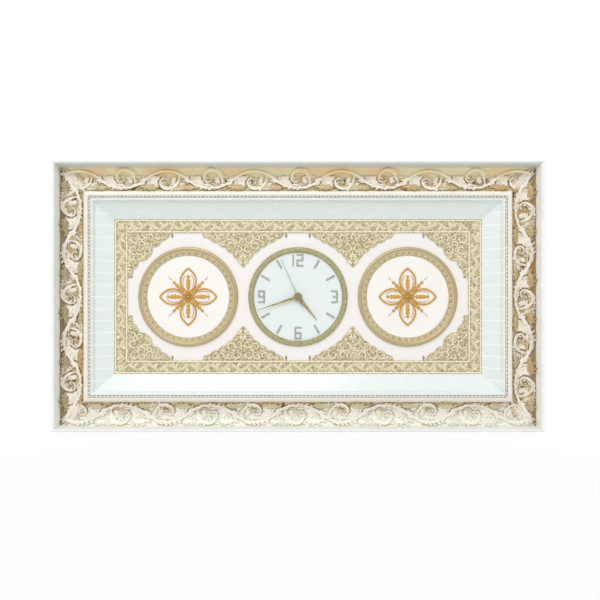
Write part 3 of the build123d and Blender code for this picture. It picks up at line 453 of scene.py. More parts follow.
def add_node(tree, kind, inputs=None, **settings):
    """Adds a node with its settings and inputs. Returns its outputs."""
    node = tree.nodes.new(f"ShaderNode{kind}")
    for label, value in settings.items():
        setattr(node, label, value)
    return feed_all(tree, node, inputs or {})


def calculate(tree, operation, first, second=0.0):
    """The result of one sum."""
    return add_node(tree, "Math", {0: first, 1: second}, operation=operation)[0]


def product(tree, first, *others):
    """Several values multiplied together."""
    for other in others:
        first = calculate(tree, "MULTIPLY", first, other)
    return first


def split(tree, kind, label):
    """The x, y and z of one output of a new node."""
    return add_node(tree, "SeparateXYZ", {0: add_node(tree, kind)[label]})


def blend_colour(tree, share, first, second):
    """Two colours mixed by a share from 0 to 1."""
    return add_node(tree, "Mix", {0: share, 6: first, 7: second}, data_type="RGBA")[2]


def spread(tree, value, low, high, to_low=0.0, to_high=1.0):
    """A value carried from one range to another, and held inside it."""
    inputs = {"Value": value, "From Min": low, "From Max": high, "To Min": to_low, "To Max": to_high}
    return add_node(tree, "MapRange", inputs)["Result"]


def object_noise(tree, scale, detail=3.0, stretch=None):
    """Noise fixed to the object, in features per metre, drawn out along an axis if asked."""
    place = add_node(tree, "TexCoord")["Object"]
    if stretch:
        place = add_node(tree, "Mapping", {"Vector": place, "Scale": stretch})[0]
    return add_node(tree, "TexNoise", {"Vector": place, "Scale": scale, "Detail": detail})["Fac"]


def patchwork(tree, first, second, scale, low, high, detail=2.0, stretch=None):
    """A colour with patches of a second one, which fade in as the noise goes from low to high."""
    share = spread(tree, object_noise(tree, scale, detail, stretch), low, high)
    return blend_colour(tree, share, first, second)


# Shader groups that several finishes share


def mottle_nodes(tree, colour, second, scale, amount):
    """Soft patches of a second colour over a first one, at two sizes."""
    large = object_noise(tree, scale, 4.0)
    small = object_noise(tree, product(tree, scale, 7.0), 2.0)
    both = calculate(tree, "ADD", product(tree, large, 0.65), product(tree, small, 0.35))
    share = product(tree, spread(tree, both, 0.38, 0.64), amount)
    return {"Colour": blend_colour(tree, share, colour, second)}


def skin_nodes(tree, scale, smooth, rough):
    """Fine unevenness of a surface: how rough it is from place to place, and its height."""
    patches = object_noise(tree, product(tree, scale, 0.06), 2.0)
    return {
        "Roughness": spread(tree, patches, 0.35, 0.65, smooth, rough),
        "Height": object_noise(tree, scale),
    }


def gilding_nodes(tree, crest, flank, gold, glaze, rise, gilded, scale):
    """Lacquer on the crests and glaze in the low parts, over gold: partly the finish, partly painted highlight
    and shade.
    """
    patches = object_noise(tree, scale, 4.0)
    # Height with wear noise: the crests take the lacquer as painted highlight, the low edges the glaze as
    # painted shade
    wear_and_shading = calculate(tree, "ADD", rise, spread(tree, patches, 0.3, 0.7, -0.25, 0.25))
    high = spread(tree, wear_and_shading, 0.2, 0.65)
    low = spread(tree, wear_and_shading, -0.05, 0.25, 1.0, 0.0)
    gilt = product(tree, gilded, spread(tree, patches, 0.25, 0.6, 1.0, 0.8))
    colour = blend_colour(tree, high, flank, blend_colour(tree, gilt, crest, gold))
    gold_share = calculate(tree, "MAXIMUM", gilt, calculate(tree, "SUBTRACT", 1.0, high))
    return {
        "Colour": blend_colour(tree, low, colour, glaze),
        "Roughness": spread(tree, patches, 0.3, 0.7, 0.34, 0.55),
        "Metallic": product(tree, gold_share, 0.35),
        "Height": object_noise(tree, product(tree, scale, 6.0)),
    }


def zone_nodes(tree):
    """Parts of the moulding, told apart by how far in and how high they lie and which way they face."""
    place = split(tree, "TexCoord", "Object")
    lean = split(tree, "NewGeometry", "Normal")[1]
    aside = calculate(tree, "ABSOLUTE", place[0])
    above = calculate(tree, "ABSOLUTE", calculate(tree, "SUBTRACT", place[2], DIAL_CENTRE))
    from_side = calculate(tree, "SUBTRACT", HALF_WIDTH * MM, aside)
    deep = calculate(tree, "MINIMUM", from_side, calculate(tree, "SUBTRACT", HALF_HEIGHT * MM, above))
    height = product(tree, place[1], -1.0)
    past_lip = calculate(tree, "GREATER_THAN", deep, LIP_WIDTH * MM)
    front = calculate(tree, "LESS_THAN", lean, FRONT_LEAN)
    steep = calculate(tree, "GREATER_THAN", lean, STEEP_LEAN)
    near_lip = calculate(tree, "LESS_THAN", deep, LIP_WALL_EDGE * MM)
    down_wall = spread(tree, height, LIP_WALL_TOP * MM, LIP_WALL_FOOT * MM)
    return {
        "Cove": product(tree, front, calculate(tree, "LESS_THAN", height, COVE_TOP * MM), past_lip),
        "Lip Wall": product(tree, steep, past_lip, near_lip, down_wall),
        "Lip": calculate(tree, "GREATER_THAN", height, LIP_LEVEL * MM),
        "Back": calculate(tree, "GREATER_THAN", lean, BACK_LEAN),
        "Across": spread(tree, deep, COVE_START * MM, COVE_END * MM),
    }


def wear_nodes(tree, scale, amount):
    """Where an edge is rubbed: the sharp corners, broken up by noise."""
    sharp = spread(tree, add_node(tree, "NewGeometry")["Pointiness"], 0.5, 0.6)
    broken = spread(tree, object_noise(tree, scale, 4.0), 0.42, 0.6)
    return {"Mask": product(tree, sharp, broken, amount)}


# The nodes of each group, and its inputs with their defaults
GROUPS = {
    "Mottled Colour": (mottle_nodes, {
        "Colour": (0.8, 0.8, 0.8), "Second": (0.6, 0.6, 0.6), "Scale": 60.0, "Amount": 0.5,
    }),
    "Fine Skin": (skin_nodes, {"Scale": 800.0, "Smooth": 0.3, "Rough": 0.5}),
    "Rubbed Gilding": (gilding_nodes, {
        "Crest": (0.9, 0.9, 0.8), "Flank": (0.6, 0.5, 0.3), "Gold": (0.5, 0.4, 0.2),
        "Glaze": (0.1, 0.08, 0.04), "Rise": 0.5, "Gilded": 0.0, "Scale": 150.0,
    }),
    "Moulding Zones": (zone_nodes, {}),
    "Edge Rub": (wear_nodes, {"Scale": 300.0, "Amount": 0.5}),
}


def make_group(name):
    """Builds a shared group. Its outputs are what its nodes give."""
    add_nodes, inputs = GROUPS[name]
    group = bpy.data.node_groups.new(name, "ShaderNodeTree")
    for label, default in inputs.items():
        kind = "Color" if isinstance(default, tuple) else "Float"
        socket = group.interface.new_socket(label, in_out="INPUT", socket_type=f"NodeSocket{kind}")
        socket.default_value = (*default, 1.0) if kind == "Color" else default
    start = group.nodes.new("NodeGroupInput").outputs
    results = add_nodes(group, *(start[label] for label in inputs))
    for label, value in results.items():
        kind = "Color" if value.type == "RGBA" else "Float"
        group.interface.new_socket(label, in_out="OUTPUT", socket_type=f"NodeSocket{kind}")
    feed_all(group, group.nodes.new("NodeGroupOutput"), results)
    return group


def use_group(tree, name, **inputs):
    """Places a shared group in a material, making it the first time, and returns its outputs."""
    node = tree.nodes.new("ShaderNodeGroup")
    node.node_tree = bpy.data.node_groups.get(name) or make_group(name)
    return feed_all(tree, node, inputs)


# Finishes


def new_finish(name):
    """A material with an empty tree but for its shader and output."""
    material = bpy.data.materials.new(name)
    material.use_nodes = True
    return material, material.node_tree, material.node_tree.nodes["Principled BSDF"]


def mottled(tree, colour, second, scale, amount):
    """A colour with soft patches of a second one."""
    inputs = {"Colour": colour, "Second": second, "Scale": scale, "Amount": amount}
    return use_group(tree, "Mottled Colour", **inputs)["Colour"]


def fill_shader(tree, shader, colour, roughness, height, depth, others=None):
    """Feeds a shader its colour, its roughness, bump with a depth in metres, and other inputs by name."""
    bump = add_node(tree, "Bump", {"Height": height, "Distance": depth})[0]
    feed_all(tree, shader, {"Base Color": colour, "Roughness": roughness, "Normal": bump, **(others or {})})


def plain_finish(
    name, colour, second, patch=60.0, amount=0.5, grain=800.0, smooth=0.3, rough=0.45, depth=0.00003,
    metallic=0.0, coat=0.0, rubbed=None,
):
    """A painted, moulded or metal finish: patchy colour, uneven gloss, fine skin and rubbed edges."""
    material, tree, shader = new_finish(name)
    shade = mottled(tree, colour, second, patch, amount)
    if rubbed:
        shade = blend_colour(tree, use_group(tree, "Edge Rub", Amount=0.7)["Mask"], shade, rubbed)
    skin = use_group(tree, "Fine Skin", Scale=grain, Smooth=smooth, Rough=rough)
    others = {"Metallic": metallic, "Coat Weight": coat, "Coat Roughness": 0.12}
    fill_shader(tree, shader, shade, skin["Roughness"], skin["Height"], depth, others)
    return material


def brushed_finish(name, colour, second, stretch, rough=0.32):
    """Metal with fine parallel scratches."""
    material, tree, shader = new_finish(name)
    scratches = object_noise(tree, 900.0, 4.0, stretch)
    shade = blend_colour(tree, spread(tree, scratches, 0.35, 0.65), colour, second)
    gloss = spread(tree, scratches, 0.3, 0.7, rough, rough + 0.2)
    fill_shader(tree, shader, shade, gloss, scratches, 0.00002, {"Metallic": 1.0})
    return material


def lay_gilding(tree, shader, depth, **inputs):
    """Feeds a shader gilding that follows the piece's tint, with painted highlight and shade from its rise;
    returns its colour.
    """
    inputs["Rise"] = add_node(tree, "Attribute", attribute_name="rise")["Fac"]
    inputs["Gilded"] = add_node(tree, "Attribute", attribute_name="tint")["Fac"]
    coat = use_group(tree, "Rubbed Gilding", **inputs)
    others = {"Metallic": coat["Metallic"]}
    fill_shader(tree, shader, coat["Colour"], coat["Roughness"], coat["Height"], depth, others)
    return coat["Colour"]


def gilded_finish(name, crest, flank, gold, glaze, scale=150.0, second_flank=None):
    """Carving that is lacquered on its crests and gilded in its hollows.

    Its lighter crests and dark low edges are partly painted highlight and painted shade. The flanks turn to
    their second colour in patches, if they have one.
    """
    material, tree, shader = new_finish(name)
    if second_flank:
        flank = patchwork(tree, flank, second_flank, 22.0, 0.45, 0.58)
    lay_gilding(tree, shader, 0.00012, Crest=crest, Flank=flank, Gold=gold, Glaze=glaze, Scale=scale)
    return material


def leaf_gold(tree, finish):
    """Gold that turns from olive to ochre in large patches along the frame."""
    return patchwork(tree, finish.olive, finish.ochre, 14.0, 0.42, 0.56)


def foot_colour(tree, shades):
    """The colour at the foot of a rail's lip, which turns to its second colour in long patches."""
    # Painted shade with some glaze on the side rails, a painted gold reflection on top, painted light on the
    # bottom
    return patchwork(tree, srgb(*shades["foot"]), srgb(*shades["second_foot"]), 16.0, 0.46, 0.62)


def carving_finish(name, finish, shades):
    """The scrollwork: cream crests, leaves in two golds and dark glaze beside them.

    The cream crests and dark glaze are partly painted highlight and painted shade. Near the lip the rail's
    foot colour, painted light and shade, is laid over the carving, and the gold turns to the rail's outer gold
    nearby, which is partly painted light and shade too.
    """
    material, tree, shader = new_finish(name)
    across, reach = use_group(tree, "Moulding Zones")["Across"], shades["reach"]
    # Near the lip the gold turns to the rail's outer gold: partly real gold, partly painted light and shade
    outer = spread(tree, across, reach + 0.3, reach, 0.0, 0.8)
    gold = blend_colour(tree, outer, leaf_gold(tree, finish), srgb(*shades["outer_gold"]))
    colour = lay_gilding(
        tree, shader, 0.00015, Crest=finish.cream, Flank=finish.flank, Gold=gold, Glaze=finish.antique_and_shade,
        Scale=160.0,
    )
    # The rail's foot colour laid over the carving near the lip: painted shade on the sides, painted light on
    # top and bottom
    wash = spread(tree, across, reach, reach * 0.45, 0.0, shades["wash"])
    colour = blend_colour(tree, wash, colour, foot_colour(tree, shades))
    feed(tree, shader.inputs["Base Color"], colour)
    return material


def moulding_finish(name, finish, shades):
    """A rail: cool white lip, warm fillet and glazed cove, with its own colour along the foot of the lip.

    The whites of lip, wall and fillet and the foot colour are painted light and shade, set for each rail; the
    foot colour fades out at a share of the cove's width. Patches of dark glaze are partly painted shade
    between the carved strokes. The back is bare wood.
    """
    material, tree, shader = new_finish(name)
    zones = use_group(tree, "Moulding Zones")
    # Lip and fillet whites that differ from rail to rail, as painted light and shade
    white = blend_colour(tree, zones["Lip"], srgb(*shades["fillet"]), srgb(*shades["lip"]))
    white = mottled(tree, white, srgb(222, 220, 208), 25.0, 0.35)
    glaze = patchwork(tree, srgb(208, 198, 172), leaf_gold(tree, finish), 120.0, 0.42, 0.6, 5.0)
    # Dark glaze patches on the cove ground, partly painted shade between the carved strokes
    glaze = patchwork(tree, glaze, finish.recess, 75.0, 0.54, 0.66, 4.0)
    # The rail's foot colour along the lip: painted shade on the sides, painted reflection and light on top and
    # bottom
    footing = spread(tree, zones["Across"], shades["reach"], shades["reach"] * 0.45)
    glaze = blend_colour(tree, footing, glaze, foot_colour(tree, shades))
    shade = blend_colour(tree, zones["Cove"], white, glaze)
    # The lip wall's colour for each rail: painted shade on the top rail, painted light on the others
    shade = blend_colour(tree, zones["Lip Wall"], shade, srgb(*shades["wall"]))
    wood = patchwork(
        tree, srgb(206, 176, 132), srgb(182, 148, 104), 90.0, 0.35, 0.65, 4.0, stretch=(1.0, 8.0, 8.0)
    )
    shade = blend_colour(tree, zones["Back"], shade, wood)
    skin = use_group(tree, "Fine Skin", Scale=700.0, Smooth=0.28, Rough=0.45)
    rough = calculate(tree, "ADD", skin["Roughness"], product(tree, zones["Back"], BARE_ROUGHNESS))
    fill_shader(tree, shader, shade, rough, skin["Height"], 0.00006)
    return material


def board_finish(name, front, second, smooth, rough, coat=0.0, groove=None):
    """Lacquered board with a bare fibreboard back, and a painted highlight along level grooves if asked."""
    material, tree, shader = new_finish(name)
    shade = mottled(tree, front, second, 22.0, 0.45)
    # A painted highlight along each groove across the upright slips
    if groove:
        height = calculate(tree, "SUBTRACT", split(tree, "TexCoord", "Object")[2], DIAL_CENTRE)
        pitches = calculate(tree, "DIVIDE", height, GROOVE_PITCH * MM)
        inside = calculate(tree, "LESS_THAN", calculate(tree, "PINGPONG", pitches, 0.5), GROOVE_HIGHLIGHT_SHARE)
        shade = blend_colour(tree, inside, shade, groove)
    back = calculate(tree, "GREATER_THAN", split(tree, "NewGeometry", "Normal")[1], BACK_LEAN)
    fibres = mottled(tree, srgb(196, 164, 122), srgb(168, 134, 94), 420.0, 0.8)
    shade = blend_colour(tree, back, shade, fibres)
    skin = use_group(tree, "Fine Skin", Scale=600.0, Smooth=smooth, Rough=rough)
    rough = calculate(tree, "ADD", skin["Roughness"], product(tree, back, BARE_ROUGHNESS))
    others = {"Coat Weight": coat, "Coat Roughness": 0.1}
    fill_shader(tree, shader, shade, rough, skin["Height"], 0.00004, others)
    return material


def dress(names, material):
    """Gives a finish to nodes of the frame."""
    for name in names:
        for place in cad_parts[name].material_slots:
            place.material = material


# The moulding

# Colours of each rail, and how far the foot of the lip reaches across the cove, as a share of its width.
# The lip, wall and fillet whites are lit and shaded copies of one white, painted light and shade: the top
# rail's lip and wall darker, the bottom rail's fillet darker, the right rail's lip and wall palest. The foot
# colours are painted shade with some glaze on the side rails, a painted gold reflection on the top rail and
# painted light on the bottom one. They are laid over the carving near the lip as strongly as each rail asks.
# The outer gold, which the carving's gold turns to near the lip, is partly real gold and partly painted light
# and shade.
# Side rails: painted shade with some glaze at the foot of the lip
SHADED_RAIL = {
    "lip": (244, 248, 247), "wall": (246, 249, 247), "fillet": (244, 238, 225),
    "foot": (146, 130, 102), "second_foot": (132, 104, 76), "outer_gold": (142, 122, 74),
    "reach": 0.28, "wash": 0.35, "leaves_from": 0.0,
}
RAIL_SHADES = {
    "left": SHADED_RAIL,
    # Right rail: the palest lip and wall, as painted light
    "right": {
        **SHADED_RAIL, "lip": (250, 251, 250), "wall": (252, 253, 251),
        "foot": (154, 134, 98), "second_foot": (164, 122, 78), "outer_gold": (188, 144, 78),
    },
    # Top rail: painted shade on the lip and wall, a painted gold reflection at the foot of the lip
    "top": {
        "lip": (212, 219, 218), "wall": (196, 199, 187), "fillet": (247, 243, 233),
        "foot": (242, 231, 190), "second_foot": (242, 216, 170), "outer_gold": (226, 206, 148),
        "reach": 0.5, "wash": 0.92, "leaves_from": 0.34,
    },
    # Bottom rail: painted shade on the fillet, painted light at the foot of the lip
    "bottom": {
        "lip": (238, 240, 240), "wall": (240, 242, 236), "fillet": (230, 225, 212),
        "foot": (246, 243, 232), "second_foot": (238, 240, 228), "outer_gold": (226, 220, 184),
        "reach": 0.75, "wash": 0.85, "leaves_from": 0.0,
    },
}

# Leaves of a bay, each by its middle line, width, share of the height and gilding
BAY_LEAVES = (
    ([(15.0, 12.0), (27.0, 18.5), (45.0, 18.0), (61.0, 8.0)], 8.8, 1.0, 1.0),
    ([(11.0, -9.0), (22.0, -7.0), (33.0, 1.5), (46.0, 3.0)], 8.6, 1.0, 0.0),
    ([(19.0, 1.0), (26.0, 5.0), (33.0, 9.0), (45.0, 8.5)], 5.4, 0.9, 0.05),
    ([(-42.0, 11.0), (-35.0, 17.5), (-25.0, 19.5), (-15.0, 18.0)], 5.8, 0.75, 0.3),
    ([(-38.0, 3.0), (-33.0, 10.0), (-27.0, 11.0), (-20.0, 8.0)], 5.2, 0.75, 0.0),
    ([(30.0, -14.5), (41.0, -18.5), (53.0, -17.5), (62.0, -10.0)], 7.4, 0.95, 0.9),
    ([(-20.0, -7.0), (-14.0, -3.0), (-10.0, 5.0), (-14.0, 13.0)], 5.6, 0.75, 0.0),
    ([(-4.0, -11.0), (5.0, -9.0), (15.0, -9.5), (25.0, -14.0)], 4.8, 0.75, 0.15),
)


# Lens-shaped marks at the foot of the bottom lip: half their length, and how far in they start and end
MARK_HALF, MARK_START, MARK_END = 17.0, COVE_START + 1.9, COVE_START + 2.6

# Pearls of the bead strips
PEARL_RADIUS, PEARL_HEIGHT = 2.2, 1.8


def stem_arc(length, swing, share):
    """Points on the arc that the stem takes through one bay, for shares from -1 to 1 of the bay's half."""
    radius = (length**2 / 4 + swing**2) / (2 * swing)
    along = share * length / 2
    return np.stack([along, radius - swing - np.sqrt(radius**2 - along**2)], axis=1)


def carve_bay(relief, leaves, middle, length, flip, settings):
    """One bay of scrollwork: the running stem, a leaf curled round an eye, and leaves all round them.

    Places are measured from the bay's middle on the centre line of the cove, with the stem toward the lip.
    """
    height = settings.relief / MM
    stem = settings.stem / MM
    swing = settings.swing / MM

    def on_cove(line):
        line = np.array(line, float)
        return np.stack([middle + line[:, 0], COVE_MIDDLE + flip * line[:, 1]], axis=1)

    def finger(line, width, tall, tint, peak=0.5, floor=0.15, groove=0.3):
        leaves.taper(on_cove(line), width, height * tall, tint, 9, peak, floor, 7, groove)

    # The stem, and a thin stalk beside it
    share = np.linspace(-1.04, 1.04, 36)
    arc = stem_arc(length, swing, share)
    relief.add(stroke(on_cove(arc), stem, height, 9, 0.2))
    arc[:, 1] += 2.0 + 3.6 * np.cos(np.pi / 2 * share)
    leaves.add(stroke(on_cove(arc[4:-4]), stem * 0.4, height * 0.5, 5), 0.45)

    # The curled leaf and the tail that winds on into its eye
    curl = curve([(-25.5, -12.1), (-27.0, 16.0), (-6.0, 29.0), (15.5, 17.5), (13.5, 2.0)], 30)
    fullness = np.interp(np.linspace(0, 1, 30), [0, 0.2, 0.6, 1], [0.55, 1.0, 1.35, 0.8])
    relief.add(stroke(on_cove(curl), stem * fullness, height * (0.7 + 0.25 * fullness), 9, 0.25))
    tail = curve([(13.5, 2.0), (11.0, -6.0), (-1.0, -7.0), (-8.0, 1.5), (-4.0, 11.0), (3.0, 8.5)], 24)
    thinning, sinking = np.linspace(0.8, 0.35, 24), np.linspace(0.85, 0.6, 24)
    relief.add(stroke(on_cove(tail), stem * thinning, height * sinking, 7, 0.2), 0.15)
    relief.add(bud(on_cove([(0.6, 5.0)])[0], 2.7, height * 0.75), 0.6)

    # Fingers of the curled leaf, inside it and on its back
    for step in range(5):
        at = 6 + 5 * step
        base, inner, ahead = curl[at], unit((0.5, 4.5) - curl[at]), unit(curl[at + 1] - curl[at - 1])
        line = [base, base + inner * 5.0, base + inner * 7.5 + ahead * 5.5]
        finger(line, 2.7, 0.66, 0.8 if step % 2 else 0.1, peak=0.45)
    for base in curl[5:14:4]:
        finger([base, base + (-3.825, 3.975), base + (-5.225, 9.175)], 2.6, 0.7, 0.1)

    # Fingers between the stem and the lip
    for step, base in enumerate(stem_arc(length, swing, np.linspace(-0.5, 0.5, 6))):
        finger([base, base + (4.5, -4.5), base + (9.5, -5.2)], 2.8, 0.95, 0.9 if step % 2 else 0.2)

    # Lobes that break over the stem, to each side in turn
    for step in range(8):
        share = -0.92 + 0.23 * step
        base, ahead = stem_arc(length, swing, np.array([share, share + 0.1]))
        forward = unit(ahead - base)
        outward = left_of(forward) * (1.0 if step % 2 else -0.6)
        tip = base + 11.5 * forward + 6.0 * outward
        line = [base - 1.5 * outward, base + 5.5 * forward + 2.0 * outward, tip]
        finger(line, 2.7, 1.12, 0.0, floor=0.2, groove=0.35)

    for line, width, tall, tint in BAY_LEAVES:
        leaf(leaves, on_cove(line), width, height * tall, settings.lobes, tint)
    fan(leaves, on_cove([(-46.0, -3.0)])[0], 20.0 * flip, 5, 62.0, 13.5, 3.4, height * 0.9, 0.0)
    fan(leaves, on_cove([(19.0, 5.5)])[0], 6.0 * flip, 3, 46.0, 13.0, 4.0, height * 0.95, 0.0)
    for place, radius in (((-33.0, 1.5), 2.0), ((24.5, 10.0), 1.9), ((31.0, 12.5), 1.5)):
        leaves.add(bud(on_cove([place])[0], radius, height * 0.6, 5), 0.3)


def corner_leaf(relief, across, up, settings):
    """A large leaf that covers the mitre, between two smaller ones."""
    height = settings.relief / MM
    corner = np.array([HALF_WIDTH * across, HALF_HEIGHT * up])
    diagonal = -np.array([across, up])
    spine = [corner + diagonal * deep for deep in (55.0, 40.0, 25.0, 11.0)]
    leaf(relief, spine, 10.5, height, 6, 0.15, 18)
    for side in np.array([(0, up), (across, 0)]):
        places = ((50.0, 0.0), (33.0, 20.0), (14.0, 24.0))
        line = [corner + diagonal * deep - side * away for deep, away in places]
        leaf(relief, line, 5.5, height * 0.85, settings.lobes, 0.7)


class CLOCK_OT_carve_moulding(bpy.types.Operator):
    """Finish the rails of the moulding and carve scrollwork along their cove"""

    bl_idname = "clock.carve_moulding"
    bl_label = "Carve Moulding"

    def execute(self, context):
        settings = context.scene.clock_carving
        finish = context.scene.clock_finish
        length = settings.bay / MM
        for side in SIDES:
            shades = RAIL_SHADES[side]
            dress([f"frame_rail_{side}"], moulding_finish(f"rail_lacquer_light_and_shade_{side}", finish, shades))
            gilt = carving_finish(f"carved_gilding_{side}", finish, shades)
            own = own_side(side)
            first = COVE_START + (COVE_END - COVE_START) * shades["leaves_from"]
            place = rail_place(side)

            def own_cove(x, y):
                return own(x, y) & (inward(x, y) > first)

            relief = Relief(cove_level, place, own, cove_lift, sharpness=4.0)
            leaves = Relief(cove_level, place, own_cove, cove_lift, sharpness=3.4)
            neighbours = int((rail_half_length(side) - COVE_MIDDLE) / length) + 1
            for bay in range(-neighbours, neighbours + 1):
                carve_bay(relief, leaves, bay * length, length, 1 if bay % 2 else -1, settings)
            relief.make(f"carved_scrolls_{side}", gilt)
            leaves.make(f"carved_leaves_{side}", gilt)
        self.cover_mitres(finish, settings)
        self.mark_lip(length)
        return {"FINISHED"}

    def cover_mitres(self, finish, settings):
        """Large leaves over the four mitres."""
        relief = Relief(cove_level, lift=cove_lift, sharpness=2.0)
        for across in (-1, 1):
            for up in (-1, 1):
                corner_leaf(relief, across, up, settings)
        gilt = carving_finish("carved_gilding_corners", finish, SHADED_RAIL)
        relief.make("carved_corner_leaves", gilt)

    def mark_lip(self, length):
        """Long lens-shaped leaves at the foot of the bottom lip, one to a bay."""
        relief = Relief(cove_level, rail_place("bottom"), own_side("bottom"), cove_lift)
        count = int(HALF_WIDTH / length - 0.5)
        for bay in range(-count, count + 1):
            ends = [(bay * length - MARK_HALF, MARK_START), (bay * length + MARK_HALF, MARK_END)]
            relief.taper(ends, 2.4, 0.7, 0.6, 12, floor=0.1)
        olive = gilded_finish(
            "lip_mark_gilding", srgb(214, 208, 160), srgb(190, 184, 128), srgb(196, 186, 120),
            srgb(150, 140, 88),
        )
        relief.make("lip_marks", olive)


class CLOCK_OT_string_pearls(bpy.types.Operator):
    """Set a row of small pearls along the bead strips"""

    bl_idname = "clock.string_pearls"
    bl_label = "String Pearls"

    def execute(self, context):
        pitch = context.scene.clock_lace.pearl / MM
        dress(["bead_strips"], plain_finish(
            "bead_glaze", srgb(192, 188, 177), srgb(216, 213, 205), 90.0, 0.8, smooth=0.35, rough=0.5
        ))
        relief = Relief(flat_level(BEAD_LEVEL))
        for side in SIDES:
            place = rail_place(side)
            reach = rail_half_length(side) - BEAD_LINE
            count = int(round(2 * reach / pitch))
            for number in range(count):
                spot = place(-reach + 2 * reach * number / count, BEAD_LINE)
                relief.add(bud(spot, PEARL_RADIUS, PEARL_HEIGHT, sink=0.3))
        pearls = gilded_finish(
            "pearl_gilding", context.scene.clock_finish.cream, srgb(208, 200, 188), srgb(190, 176, 154),
            srgb(150, 138, 124),
        )
        relief.make("bead_pearls", pearls)
        return {"FINISHED"}


# Lacework on the panel

# What fills one pitch of the border, placed in shares of the pitch and of the border's width. Each leaf has
# a middle line, width, share of the height, lobes, gilding and steps, and each bud a place, radius and gilding
STRAP_LEAVES = (
    ([(-0.6, -0.22), (-0.2, -0.24), (0.15, 0.24), (0.58, 0.22)], 4.4, 0.85, 5, 0.35, 14),
    ([(-0.5, 0.26), (-0.3, 0.28), (-0.15, 0.14), (-0.08, 0.0)], 3.0, 1.0, 3, 0.75, 10),
    ([(0.48, -0.26), (0.3, -0.28), (0.2, -0.14), (0.12, 0.0)], 3.0, 1.0, 3, 0.05, 10),
)
STRAP_BUDS = (((0.44, -0.12), 1.5, 0.2), ((-0.36, 0.05), 1.2, 0.9))

# The cords of the border, each by its distance in from an edge and its half width
OUTER_CORD, INNER_CORD = (2.3, 1.9), (2.1, 2.0)

# Finials: how long they are, and how far they stand from the middle of a ring, of the dial and of a side
FINIAL_LENGTH = 10.5
RING_FINIALS, DIAL_FINIALS, SIDE_FINIALS = 34.0, 25.0, 42.0

# Room kept in an ornament from a place to the edge, to the other half and to the next place
EDGE_ROOM, HALF_ROOM, PLACE_ROOM = 1.6, 0.4, 0.35

# How near the axis a place counts as on it, and the least radius that takes a scroll
ON_AXIS = 0.6
LEAST_SCROLL = 4.6

# Beads along the edge of an ornament
BEAD_PITCH, BEAD_RADIUS = 2.4, 0.95


def front_outline(node):
    """The outline of the front face of a flat node, in bench millimetres, in order."""
    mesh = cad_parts[node].data
    points = np.empty(len(mesh.vertices) * 3)
    mesh.vertices.foreach_get("co", points)
    points = points.reshape(-1, 3)
    flat = np.stack([points[:, 0] / MM, (points[:, 2] - DIAL_CENTRE) / MM], axis=1).round(3)
    front = points[:, 1].min() + 0.02 * MM
    links = {}
    for polygon in mesh.polygons:
        if all(points[vertex, 1] < front for vertex in polygon.vertices):
            corners = [tuple(flat[vertex]) for vertex in polygon.vertices]
            for first, second in zip(corners, corners[1:] + corners[:1]):
                if links.get(second) and first in links[second]:
                    links[second].discard(first)
                else:
                    links.setdefault(first, set()).add(second)
    links = {first: next(iter(seconds)) for first, seconds in links.items() if seconds}
    outline = [next(iter(links))]
    while links[outline[-1]] != outline[0]:
        outline.append(links[outline[-1]])
    return np.array(outline)


def room_inside(points, outline):
    """How far each point lies inside an outline. It is negative outside."""
    start = outline[None]
    span = np.roll(outline, -1, axis=0)[None] - start
    offset = points[:, None] - start
    share = np.clip((offset * span).sum(-1) / ((span**2).sum(-1) + 1e-12), 0, 1)
    distance = np.linalg.norm(offset - share[..., None] * span, axis=-1).min(axis=1)
    above = (start[..., 1] > points[:, None, 1]) != (start[..., 1] + span[..., 1] > points[:, None, 1])
    crossing = start[..., 0] + span[..., 0] * (points[:, None, 1] - start[..., 1]) / (span[..., 1] + 1e-12)
    inside = (above & (crossing > points[:, None, 0])).sum(axis=1) % 2 == 1
    return np.where(inside, distance, -distance)


def fill_places(outline, largest, smallest, axis, taken):
    """Circles that fill an outline round the places already taken, the largest first.

    With an axis, only the half beyond it is filled, for the other half to mirror.
    """
    low, high = outline.min(axis=0), outline.max(axis=0)
    grid = np.meshgrid(np.arange(low[0], high[0], 1.0), np.arange(low[1], high[1], 1.0))
    points = np.stack(grid, axis=-1).reshape(-1, 2)
    if axis is not None:
        points = points[points[:, 0] >= axis]
    room = room_inside(points, outline) - EDGE_ROOM
    if axis is not None:
        beside = points[:, 0] - axis
        room = np.where(beside < ON_AXIS, room, np.minimum(room, beside - HALF_ROOM))
    for centre, radius in taken:
        room = np.minimum(room, np.linalg.norm(points - centre, axis=1) - radius)
    places = []
    sizes = (1.0, 0.62, 0.85, 0.7)
    while room.max() > smallest:
        wanted = max(largest * sizes[len(places) % len(sizes)], smallest)
        ready = np.flatnonzero(room >= min(room.max(), wanted) - 0.05)
        best = ready[np.argmax(np.abs(points[ready, 1]) + 0.3 * np.abs(points[ready, 0]))]
        radius = min(room[best], wanted)
        places.append((points[best], radius))
        room = np.minimum(room, np.linalg.norm(points - points[best], axis=1) - radius - PLACE_ROOM)
    return places


